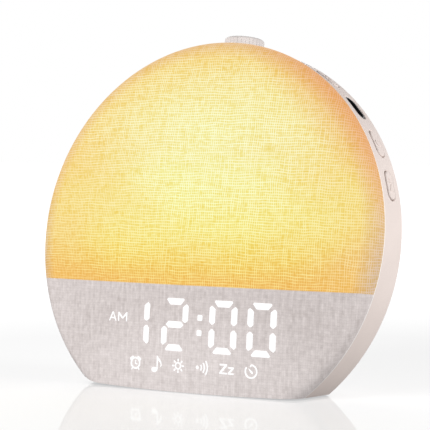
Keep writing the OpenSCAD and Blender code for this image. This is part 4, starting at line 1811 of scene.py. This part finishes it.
@dataclass
class RearCover:
    """The back of the casing, with the speaker's grille, the sockets' openings and the screw wells."""

    turns: int = 288
    grille_pitch: float = 4.0
    grille_hole_r: float = 1.1
    grille_flare: Point2 = (0.32, 0.35)
    grille_reach: float = 18.0
    speaker_y: float = 12.0
    socket_x: float = 26.0
    socket_in: float = 18.7
    jack_r: float = 4.0
    usb_box: Point3 = (6.5, 2.8, 0.5)
    socket_flare: Point2 = (0.4, 0.4)
    boss_at: float = FACE.rim_r - 15.5
    boss_angles: tuple[float, ...] = (36.5, 143.5, 218.0, 322.0)
    well_r: float = 3.2
    well_floor: float = -34.0
    joint_chamfer: float = 0.35

    @property
    def socket_y(self) -> float:
        """Height of the sockets on the face."""
        return self.socket_in - CASING.back_c

    def outline(self) -> list[Point2]:
        """The shell's closed outline."""
        c, joint, cut = CASING, -CASING.joint_depth, self.joint_chamfer
        edge = [
            (c.slope_r(joint, c.wall), joint),
            (c.slope_r(joint - cut) - cut * 0.5, joint),
            (c.slope_r(joint - cut), joint - cut),
        ]
        outer = edge + c.back(0)
        rows = [(c.back_c * k, -FACE.body_depth) for k in (0.75, 0.5, 0.25, 0.0)]
        inner_w = -FACE.body_depth + c.wall
        inner = [(0.0, inner_w), (c.back_c * 0.5, inner_w)]
        return outer + rows + inner + c.back(c.wall)[::-1]

    @staticmethod
    def mouth(flare: Point2) -> list[Point2]:
        """A cutter through the flat back, as extra width and depth, with a flare of that width and depth."""
        back = -FACE.body_depth
        return [(0.0, back + 5), (0.0, back + flare[1]), (flare[0], back - 0.02), (flare[0], back - 1)]

    def hole(self, radius: float, flare: Point2) -> list[Point2]:
        """Outline of a round cutter through the flat back."""
        steps = [(radius + grow, w) for grow, w in self.mouth(flare)]
        return [(0.0, steps[0][1]), *steps, (0.0, steps[-1][1])]

    def perforations(self) -> Object:
        """Cutter for the speaker's grille: a hexagonal field of countersunk holes, made with nodes."""
        hole = revolve(self.hole(self.grille_hole_r, self.grille_flare), 18).build("hole")
        values = {
            "Pitch": self.grille_pitch * MM,
            "Reach": self.grille_reach * MM,
            "Rise": self.speaker_y * MM,
            "Lean": FACE.lean,
        }
        return scattered("perforations", grille_field, hole, values)

    def wells(self) -> list[Object]:
        """Cutters for the screw wells."""
        r, low = self.well_r, self.well_floor
        outline = [(0.0, low), (r, low), (r, -60.0), (0.0, -60.0)]
        turns = [math.radians(angle) for angle in self.boss_angles]
        places = [shifted(self.boss_at * math.cos(a), self.boss_at * math.sin(a)) for a in turns]
        return [revolve(outline, 48, put).build("well") for put in places]

    def socket_mouths(self) -> list[Object]:
        """Cutters for the power jack's and the charging socket's openings."""
        x, y = self.socket_x, self.socket_y
        jack = revolve(self.hole(self.jack_r, self.socket_flare), 56, shifted(-x, y)).build("jack_mouth")
        skin = Skin()
        rings = []
        for grow, w in self.mouth(self.socket_flare):
            loop = rounded_box(*(size + grow for size in self.usb_box))
            rings.append(skin.ring((x + px, y + py, w) for px, py in loop))
        skin.stack(rings)
        return [jack, skin.build("usb_mouth")]

    def build(self) -> Object:
        """Makes the cover."""
        shell = revolve(self.outline(), self.turns).build("cover_shell")
        table = slab(-40.0, FACE.base_gap, "table")
        cutters = [table, *self.wells(), *self.socket_mouths(), self.perforations()]
        made = carve(shell, cutters, name="cover_shell")
        return dressed(made, Finish.cover_plastic, "clock", ["rear_cover"], angle=30.0)


# ---- repeats made with nodes


class NodeTree(Nodes):
    """A Geometry Nodes tree in the making, with named inputs."""

    def __init__(self, name: str, inputs: dict[str, float]) -> None:
        """Starts a tree with a geometry, a thing to repeat and its material.

        Args:
            name: The tree's name.
            inputs: Named numbers with their first values.
        """
        super().__init__(bpy.data.node_groups.new(name, "GeometryNodeTree"))
        face = self.tree.interface
        for label, kind in (("Geometry", "Geometry"), ("Thing", "Object"), ("Material", "Material")):
            face.new_socket(label, in_out="INPUT", socket_type="NodeSocket" + kind)
        for label, value in inputs.items():
            made = face.new_socket(label, in_out="INPUT", socket_type="NodeSocketFloat")
            made.default_value = float(value)
        face.new_socket("Geometry", in_out="OUTPUT", socket_type="NodeSocketGeometry")
        self.inputs = self.tree.nodes.new("NodeGroupInput")

    def named(self, label: str) -> Socket:
        """A named input of the tree."""
        return self.inputs.outputs[label]

    def whole(self, label: str) -> Socket:
        """A named input as a whole number."""
        return self.first("FunctionNodeFloatToInt", {0: self.named(label)})

    def points(self, mesh: Socket) -> Socket:
        """A point at each corner of a mesh."""
        return self.first("GeometryNodeMeshToPoints", {0: mesh})

    def heap(self, count: object) -> tuple[Socket, Socket]:
        """Points in one place, and their numbers."""
        line = self.first("GeometryNodeMeshLine", {"Count": count, "Offset": (0.0, 0.0, 0.0)})
        return self.points(line), self.first("GeometryNodeInputIndex")

    def put(self, points: Socket, at: Socket) -> Socket:
        """The points, moved to where a vector says."""
        return self.first("GeometryNodeSetPosition", {"Geometry": points, "Position": at})

    def leaning(self) -> tuple[Socket, Socket]:
        """Sine and cosine of the lean."""
        return tuple(self.math(op, self.named("Lean")) for op in ("SINE", "COSINE"))

    def end(self, points: Socket, turn: Socket | None = None) -> bpy.types.NodeTree:
        """Puts the thing on the points, makes it real and sets its material.

        Args:
            points: The points.
            turn: The turn of each copy, where it has one.

        Returns:
            The finished tree.
        """
        source = {"Object": self.named("Thing")}
        thing = self.node("GeometryNodeObjectInfo", source, transform_space="ORIGINAL")
        sources = {"Points": points, "Instance": thing.outputs["Geometry"]}
        if turn is not None:
            sources["Rotation"] = turn
        copies = self.first("GeometryNodeInstanceOnPoints", sources)
        real = self.first("GeometryNodeRealizeInstances", {0: copies})
        worn = self.first("GeometryNodeSetMaterial", {"Geometry": real, "Material": self.named("Material")})
        self.node("NodeGroupOutput", {0: worn})
        return self.tree


def grille_field(tree: NodeTree) -> bpy.types.NodeTree:
    """Points in a hexagonal field within a reach, on the leaning back.

    Args:
        tree: The tree to fill.

    Returns:
        The tree.
    """
    pitch, side = tree.named("Pitch"), 25
    counts = {"Vertices X": side, "Vertices Y": side}
    grid = tree.first("GeometryNodeMeshGrid", {"Size X": side - 1.0, "Size Y": side - 1.0, **counts})
    i, j, _ = tree.separate(tree.first("GeometryNodeInputPosition"))
    x = tree.math("MULTIPLY", pitch, tree.math("ADD", i, tree.math("MULTIPLY", j, 0.5)))
    y = tree.math("MULTIPLY", tree.math("MULTIPLY", pitch, j), math.sqrt(3) / 2)
    outside = tree.math("GREATER_THAN", tree.length(x, y), tree.named("Reach"))
    up = tree.math("ADD", y, tree.named("Rise"))
    at = tree.combine(x, *(tree.math("MULTIPLY", up, part) for part in tree.leaning()))
    selected = {"Geometry": tree.points(grid), "Selection": outside}
    return tree.end(tree.put(tree.first("GeometryNodeDeleteGeometry", selected), at))


def dial_flutes(tree: NodeTree) -> bpy.types.NodeTree:
    """Points in one place, each turned a step further round the dial's axis.

    Args:
        tree: The tree to fill.

    Returns:
        The tree.
    """
    points, index = tree.heap(tree.whole("Count"))
    turn = tree.math("DIVIDE", tree.math("MULTIPLY", index, 2 * math.pi), tree.named("Count"))
    axis = tree.combine(0.0, *tree.leaning())
    rotation = tree.first("FunctionNodeAxisAngleToRotation", {"Axis": axis, "Angle": turn})
    spot = tree.combine(0.0, tree.named("Y"), tree.named("Z"))
    turned = {"Vector": spot, "Center": (0.0, 0.0, 0.0), "Axis": axis, "Angle": turn}
    base = tree.first("ShaderNodeVectorRotate", turned)
    offset = tree.first("ShaderNodeVectorMath", {0: spot, 1: base}, operation="SUBTRACT")
    return tree.end(tree.put(points, offset), rotation)


def screw_places(tree: NodeTree) -> bpy.types.NodeTree:
    """Four points in two rows, each with one point on either side of the middle.

    Args:
        tree: The tree to fill.

    Returns:
        The tree.
    """
    points, index = tree.heap(4)
    row = tree.math("FLOOR", tree.math("DIVIDE", index, 2.0))
    side = tree.math("SUBTRACT", tree.math("MULTIPLY", tree.math("MODULO", index, 2.0), 2.0), 1.0)
    first, second = tree.named("Half 1"), tree.named("Half 2")
    half = tree.math("ADD", first, tree.math("MULTIPLY", row, tree.math("SUBTRACT", second, first)))
    steps = [tree.math("MULTIPLY", row, tree.named(label)) for label in ("Step Y", "Step Z")]
    return tree.end(tree.put(points, tree.combine(tree.math("MULTIPLY", side, half), *steps)))


def pad_grooves(tree: NodeTree) -> bpy.types.NodeTree:
    """A straight row of points, centred on the middle.

    Args:
        tree: The tree to fill.

    Returns:
        The tree.
    """
    count, pitch = tree.named("Count"), tree.named("Pitch")
    start = tree.math("MULTIPLY", pitch, tree.math("MULTIPLY", tree.math("SUBTRACT", count, 1.0), -0.5))
    ends = {"Start Location": tree.combine(start, 0.0), "Offset": tree.combine(pitch, 0.0)}
    return tree.end(tree.points(tree.first("GeometryNodeMeshLine", {"Count": tree.whole("Count"), **ends})))


def scattered(
    name: str,
    layout: Callable[[NodeTree], bpy.types.NodeTree],
    thing: Object,
    values: dict[str, float],
) -> Object:
    """Repeats a thing with a Geometry Nodes tree and returns the plain result.

    Args:
        name: The result's name.
        layout: Fills the tree.
        thing: The object to repeat, which is removed.
        values: The tree's named inputs.

    Returns:
        The plain object.
    """
    tree = layout(NodeTree(layout.__name__, values))
    holder = added(name, bpy.data.meshes.new(name))
    modifier = holder.modifiers.new("repeat", "NODES")
    modifier.node_group = tree
    keys = {item.name: item.identifier for item in tree.interface.items_tree if item.in_out == "INPUT"}
    modifier[keys["Thing"]] = thing
    modifier[keys["Material"]] = Finish.dial_plastic.material()
    for label, value in values.items():
        modifier[keys[label]] = float(value)
    made = flattened(holder, name)
    bpy.data.objects.remove(thing)
    return made


# ---- controls


@dataclass
class SideButtons:
    """The three buttons: caps that follow the rim, with a raised sign each."""

    proud: float = 0.35
    round_r: float = 0.55
    skirt: float = 2.6
    sign_rise: float = 0.16
    sign_root: float = 0.15
    numbers: tuple[int, ...] = (0, 1, 3)

    def cap(self, control: SideControl) -> Skin:
        """The cap's skin, with a rounded edge and a closed underside.

        Args:
            control: The button.

        Returns:
            The skin.
        """
        top, r = FACE.rim_r + self.proud, self.round_r
        turns = [math.radians(90 * i / 6) for i in range(7)]
        edge = [(-r * (1 - math.cos(a)), top - r * (1 - math.sin(a))) for a in turns]
        return control.solid([(0.0, FACE.rim_r - self.skirt), *edge], 8)

    def signs(self, number: int) -> list[list[Point2]]:
        """Outlines of a button's raised sign, along the rim and back from its middle.

        Args:
            number: The button's place on the rim.

        Returns:
            Closed outlines.
        """
        if number == 0:
            play = [(-2.6, 1.5), (0.4, 0.0), (-2.6, -1.5)]
            return [play] + [[(a, 1.4), (a + 0.6, 1.4), (a + 0.6, -1.4), (a, -1.4)] for a in (1.1, 2.3)]
        if number == 1:
            outer = arc((0.0, 0.0), 1.8, 40, 320, 26)
            reach = outer[0][0] + 0.75
            inner = arc((reach, 0.0), math.hypot(reach - outer[0][0], outer[0][1]), 238, 122, 18)
            return [outer + inner[1:-1]]
        return [
            [(-1.9, 0.3), (-0.3, 0.3), (-0.3, 1.9), (0.3, 1.9), (0.3, 0.3), (1.9, 0.3),
             (1.9, -0.3), (0.3, -0.3), (0.3, -1.9), (-0.3, -1.9), (-0.3, -0.3), (-1.9, -0.3)],
        ]

    def sign(self, control: SideControl, outline: Sequence[Point2]) -> Skin:
        """One raised outline as a closed skin on the cap.

        Args:
            control: The button.
            outline: The outline.

        Returns:
            The skin.
        """
        skin = Skin()
        top = FACE.rim_r + self.proud
        heights = (top - self.sign_root, top + self.sign_rise)
        skin.stack([skin.ring(control.at(a, b, radius) for a, b in outline) for radius in heights])
        return skin

    def build(self) -> None:
        """Makes the buttons."""
        for place, number in enumerate(self.numbers, 1):
            control = SideControl(SIDE_ANGLES[number])
            skin = self.cap(control)
            for outline in self.signs(number):
                skin.merged(self.sign(control, outline))
            made = skin.build(f"button_cap_{place}")
            dressed(made, Finish.rim_plastic, f"side_button_{place}", [f"side_button_{place}"], angle=40.0)


@dataclass
class SlideSwitch:
    """The slide switch: a black frame sunk in the rim and a ribbed knob in it."""

    sink: float = 0.2
    wall: float = 0.9
    floor_r: float = FACE.rim_r - 2.4 - 4.0
    recess: float = 2.4
    knob_l: float = 4.4
    knob_rise: float = 2.8
    knob_gap: float = 0.4
    ribs: int = 4
    rib_depth: float = 0.3
    edge: float = 0.35

    def frame(self) -> Object:
        """The frame with its recess."""
        control = SideControl(SIDE_ANGLES[2])
        top, inside, floor = FACE.rim_r - self.sink, -self.wall + 0.25, self.floor_r + self.recess
        outer = [(0.25, self.floor_r), (0.25, top - 0.25), (0.17, top - 0.08), (0.0, top)]
        inner = [(inside + 0.1, top), (inside, top - 0.1), (inside, floor)]
        made = control.solid(outer + inner).build("switch_frame")
        return dressed(made, Finish.black_plastic, "clock", ["switch_bezel"], angle=35.0)

    def knob(self) -> Object:
        """The knob, with ribs across it."""
        control = SideControl(SIDE_ANGLES[2])
        floor = self.floor_r + self.recess
        low, top = floor + 0.15, floor + self.knob_rise
        half_b, half_a = (control.width - 2 * self.wall - self.knob_gap) / 2, self.knob_l / 2
        outline = [(-half_a, low)]
        steps = 8 * self.ribs
        for i in range(steps + 1):
            a = -half_a + 2 * half_a * i / steps
            edge = min(1.0, (half_a - abs(a)) / self.edge)
            wave = self.rib_depth / 2 * math.cos(2 * math.pi * self.ribs * i / steps + math.pi)
            outline.append((a, top - self.rib_depth + wave - self.edge * (1 - edge) ** 2))
        outline.append((half_a, low))
        skin = Skin()
        rows = []
        for b, drop in ((-half_b, 0.25), (-half_b + 0.25, 0.0), (half_b - 0.25, 0.0), (half_b, 0.25)):
            rows.append(skin.ring(control.at(a, b, h - (drop if h > low else 0)) for a, h in outline))
        skin.stack(rows)
        made = skin.build("switch_knob_ribbed")
        return dressed(made, Finish.knob_plastic, "slide_knob", ["switch_knob"], angle=40.0)

    def build(self) -> None:
        """Makes the switch."""
        self.frame()
        self.knob()


@dataclass
class DialKnob:
    """The fluted dial on top."""

    flutes: int = 32
    flute_r: float = 0.42
    flute_out: float = 0.2
    shoulder: float = 1.3
    hub_r: float = 6.2
    roof: float = 1.6

    def flute(self, top: float, low: float) -> Object:
        """Cutter for one flute: an upright bar with a rounded top.

        Args:
            top, low: Distances of the dial's ends from the clock's axis.

        Returns:
            The cutter.
        """
        reach, r = DIAL.knob_r + self.flute_out, self.flute_r

        def put(x: float, y: float, h: float) -> Point3:
            """Places a point turned round the flute's axis."""
            return DIAL.axis(x + reach, y, h)

        end = top - self.shoulder * 0.55
        outline = [(0.0, low - 1), (r, low - 1), *arc((0, end - r), r, 0, 90, 3)]
        return revolve(outline, 12, put).build("flute")

    def build(self) -> Object:
        """Makes the dial."""
        top, low = FACE.rim_r + DIAL.rise, FACE.rim_r - 0.4
        r = DIAL.knob_r
        roof = top - self.roof
        outline = [
            (0.0, top - 0.25), (r - self.shoulder - 2.2, top - 0.25), (r - self.shoulder - 1.9, top - 0.02),
            *arc((r - self.shoulder, top - self.shoulder), self.shoulder, 90, 0, 8),
            (r, low + 0.2), (r - 0.2, low), (self.hub_r, low), (self.hub_r, roof), (0.0, roof),
        ]
        body = revolve(outline, 192, DIAL.axis).build("dial_body")
        _, y, z = FACE.place(np.array([[0.0, 0.0, -DIAL.depth]]))[0]
        values = {"Count": self.flutes, "Y": y, "Z": z, "Lean": FACE.lean}
        cutter = scattered("flutes", dial_flutes, self.flute(top, low), values)
        made = carve(body, [cutter], name="dial_fluted")
        return dressed(made, Finish.dial_plastic, "dial", ["dial_knob"], angle=38.0)


# ---- screws and grip pad


@dataclass
class Screws:
    """The cross-head screws that show, in the cover's wells and in the base's recesses."""

    head_r: float = 2.6
    head_round: float = 0.7
    shank_r: float = 1.2
    cross_half: Point2 = (1.5, 0.42)
    cross_foot: Point2 = (0.7, 0.28)
    cross_depth: float = 0.95
    cover_size: Point2 = (1.8, 10.0)
    foot_size: Point2 = (1.4, 7.2)
    foot_rows: tuple[Point2, Point2] = ((44.38, -11.76), (38.38, 3.17))
    foot_seat: float = 2.4

    def screw(self, put: Put, head: float, shank: float) -> Object:
        """Makes one screw.

        Args:
            put: Places sideways, upright and outward distances from under the head.
            head: The head's height.
            shank: The shank's length.

        Returns:
            The screw.
        """
        r, edge = self.shank_r, self.head_round
        outline = [
            (0.0, -shank), (r * 0.4, -shank), (r, 1.0 - shank), (r, 0.0), (self.head_r, 0.0),
            *arc((self.head_r - edge, head - edge), edge, 0, 70, 6), (0.0, head + 0.02),
        ]
        cutters = []
        for turned in (False, True):
            skin = Skin()
            rows = []
            foot, mouth = (self.cross_foot, head - self.cross_depth), (self.cross_half, head + 0.3)
            for (long, wide), h in (foot, mouth):
                half_x, half_y = (wide, long) if turned else (long, wide)
                rows.append(skin.ring(put(x * half_x, y * half_y, h) for x, y in SQUARE))
            skin.stack(rows)
            cutters.append(skin.build("cross", placed=False))
        return carve(revolve(outline, 40, put).build("screw", placed=False), cutters)

    def placed(
        self, name: str, node: str, one: Object, halves: Point2, step: Sequence[float]
    ) -> None:
        """Puts a screw at its four places and dresses the set.

        Args:
            name: The piece's name.
            node: The CAD node that it stands for.
            one: The screw of the first row, on the middle plane.
            halves: Distance of each row's screws from the middle, in millimetres.
            step: From the first row to the second along Y and Z, in metres.
        """
        values = {"Half 1": halves[0] * MM, "Half 2": halves[1] * MM, "Step Y": step[0], "Step Z": step[1]}
        made = scattered(name, screw_places, one, values)
        dressed(made, Finish.steel, "clock", [node], angle=35.0)

    def build(self) -> None:
        """Makes both sets."""
        cover = RearCover()
        turns = [math.radians(cover.boss_angles[i]) for i in (0, 3)]
        xs, ys = [[cover.boss_at * turned(a) for a in turns] for turned in (math.cos, math.sin)]
        first, second = FACE.place(np.array([[0.0, y, cover.well_floor] for y in ys]))

        def in_well(x: float, y: float, h: float) -> Point3:
            """Places a point turned round the first well's axis."""
            return tuple(FACE.place(np.array([[x, ys[0] + y, cover.well_floor - h]]))[0])

        one = self.screw(in_well, *self.cover_size)
        self.placed("cover_screws", "case_screws", one, xs, (second - first)[1:])
        (near_x, near_y), (far_x, far_y) = self.foot_rows

        def in_base(x: float, y: float, h: float) -> Point3:
            """Places a point turned round the first base screw's axis."""
            return (x * MM, (near_y + y) * MM, (self.foot_seat - h) * MM)

        one = self.screw(in_base, *self.foot_size)
        self.placed("foot_screws", "base_screws", one, (near_x, far_x), ((far_y - near_y) * MM, 0.0))


@dataclass
class GripPad:
    """The rubber pad under the base, with fine grooves across its underside."""

    length: float = 64.0
    width: float = 26.0
    thick: float = 2.0
    edge: float = 0.4
    grooves: int = 23
    pitch: float = 2.0
    groove: Point3 = (0.4, 10.4, 0.45)

    def build(self) -> Object:
        """Makes the pad. A groove is given as its half width, half length and depth."""
        skin = Skin()
        rings = []
        edge = self.edge
        for grow, z in ((0.0, self.thick), (0.0, edge), (-edge * 0.3, edge * 0.3), (-edge, 0.0)):
            outline = stadium(self.length + 2 * grow, self.width + 2 * grow)
            rings.append(skin.ring((y * MM, -x * MM, z * MM) for x, y in outline))
        skin.stack(rings)
        half, long, deep = self.groove
        cutter = Skin()
        rows = []
        for wide, z in ((half * 1.4, -0.4), (half, 0.0), (half * 0.6, deep)):
            rows.append(cutter.ring((x * wide * MM, y * long * MM, z * MM) for x, y in SQUARE))
        cutter.stack(rows)
        values = {"Count": self.grooves, "Pitch": self.pitch * MM}
        cuts = scattered("grooves", pad_grooves, cutter.build("groove", placed=False), values)
        made = carve(skin.build("pad", placed=False), [cuts], name="ribbed_pad")
        return dressed(made, Finish.rubber, "clock", ["grip_pad"], angle=35.0)


# ---- CAD nodes that stay


class InnerParts:
    """The CAD nodes that stay as they are and get their slots' finishes."""

    def dress(self) -> None:
        """Gives each CAD node its finish."""
        slots = {part["node"]: part["material_slot"] for part in frame["record"]["subparts"]}
        for name, made in frame["nodes"].items():
            material = Finish[slots[name]].material()
            if not made.material_slots:
                made.data.materials.append(material)
            for slot in made.material_slots:
                slot.material = material


# ---- studio


@dataclass
class Studio:
    """Floor, lamps, world and camera."""

    azimuth: float = 32.108
    elevation: float = 2.373
    lens: float = 153.65
    camera_mm: Point3 = (432.51, -693.05, 109.97)
    floor_share: float = 0.5
    floor_lift: float = 0.66
    floor_gloss: float = 0.25
    floor_bounce: float = 0.12
    surround: float = 0.62
    ceiling: float = 0.1
    sky: Point2 = (0.1, 0.7)
    floor_half: float = 6.0
    floor_fade: Point2 = (0.22, 0.7)
    gloss_rough: float = 0.03
    lamp_aim: Point3 = (0.0, 0.0, 0.07)
    lamps: tuple[tuple[str, Point3, float, float], ...] = (
        ("key", (-0.5, -1.35, 0.4), 0.8, 18.8),
        ("side", (0.9, 0.1, 0.16), 0.3, 6.4),
        ("rear", (-0.9, 1.2, 0.7), 0.8, 7.0),
    )

    def direction(self) -> Vector:
        """The way from the object to the camera."""
        a, e = math.radians(self.azimuth), math.radians(self.elevation)
        return Vector((math.sin(a) * math.cos(e), -math.cos(a) * math.cos(e), math.sin(e)))

    def camera(self) -> None:
        """Sets up the camera."""
        data = bpy.data.cameras.new("camera")
        data.lens, data.sensor_width = self.lens, 36.0
        data.clip_end = 50.0
        made = added("camera", data)
        made.location = [v * MM for v in self.camera_mm]
        made.rotation_euler = self.direction().to_track_quat("Z", "Y").to_euler()
        bpy.context.scene.camera = made

    def floor(self) -> None:
        """A wide pale floor that stays white to the camera and takes soft shadows."""
        g = Graph("floor")
        x, y, _ = g.separate(g.place)
        level = g.span(g.length(x, y), *self.floor_fade, self.floor_lift, 1.0)
        white = (1.0, 1.0, 1.0)
        diffuse = g.first("ShaderNodeBsdfDiffuse", {"Color": (self.floor_share,) * 3})
        lift = g.first("ShaderNodeEmission", {"Color": white, "Strength": level})
        soft = g.first("ShaderNodeAddShader", {0: diffuse, 1: lift})
        gloss = g.first("ShaderNodeBsdfGlossy", {"Color": white, "Roughness": self.gloss_rough})
        both = g.first("ShaderNodeMixShader", {0: self.floor_gloss, 1: soft, 2: gloss})
        plain = g.first("ShaderNodeBsdfDiffuse", {"Color": (self.floor_bounce,) * 3})
        camera_ray = g.node("ShaderNodeLightPath").outputs["Is Camera Ray"]
        seen = g.first("ShaderNodeMixShader", {0: camera_ray, 1: plain, 2: both})
        g.node("ShaderNodeOutputMaterial", {0: seen})
        mesh = bpy.data.meshes.new("floor")
        s = self.floor_half
        mesh.from_pydata([(-s, -s, 0), (s, -s, 0), (s, s, 0), (-s, s, 0)], [], [(0, 1, 2, 3)])
        made = added("floor", mesh)
        made.data.materials.append(g.material)

    def world(self) -> None:
        """A soft white surround with a darker ceiling."""
        world = bpy.data.worlds.new("surround")
        world.use_nodes = True
        world.cycles.sampling_method = "NONE"
        n = Nodes(world.node_tree)
        up = n.separate(n.node("ShaderNodeTexCoord").outputs["Generated"])[2]
        strength = n.span(up, *self.sky, self.surround, self.ceiling)
        soft = n.first("ShaderNodeBackground", {"Strength": strength})
        white = n.first("ShaderNodeBackground", {"Color": (1.0, 1.0, 1.0)})
        ray = n.node("ShaderNodeLightPath").outputs
        seen = n.math("MAXIMUM", ray["Is Camera Ray"], ray["Is Glossy Ray"])
        n.node("ShaderNodeOutputWorld", {0: n.first("ShaderNodeMixShader", {0: seen, 1: soft, 2: white})})
        bpy.context.scene.world = world

    def lamp(self, name: str, place: Point3, size: float, watts: float) -> None:
        """Adds a square soft lamp that looks at the clock.

        Args:
            name: Its name.
            place, size: Where it is and its side, in metres.
            watts: Its power.
        """
        data = bpy.data.lights.new(name, "AREA")
        data.size, data.energy = size, watts
        made = added(name, data)
        made.location = place
        made.rotation_euler = (Vector(place) - Vector(self.lamp_aim)).to_track_quat("Z", "Y").to_euler()

    def build(self) -> None:
        """Makes the studio."""
        self.camera()
        self.floor()
        self.world()
        for lamp in self.lamps:
            self.lamp(*lamp)
        bpy.context.scene.view_settings.view_transform = "Standard"


def main() -> None:
    """Builds the clock's looks and its studio, piece by piece."""
    logging.basicConfig(level=logging.INFO, format="%(name)s: %(message)s")
    Studio().build()
    InnerParts().dress()
    pieces = (ClothFace, Display, RimHousing, RearCover, SideButtons, SlideSwitch, DialKnob, Screws, GripPad)
    for piece in pieces:
        piece().build()


if __name__ == "__main__":
    main()
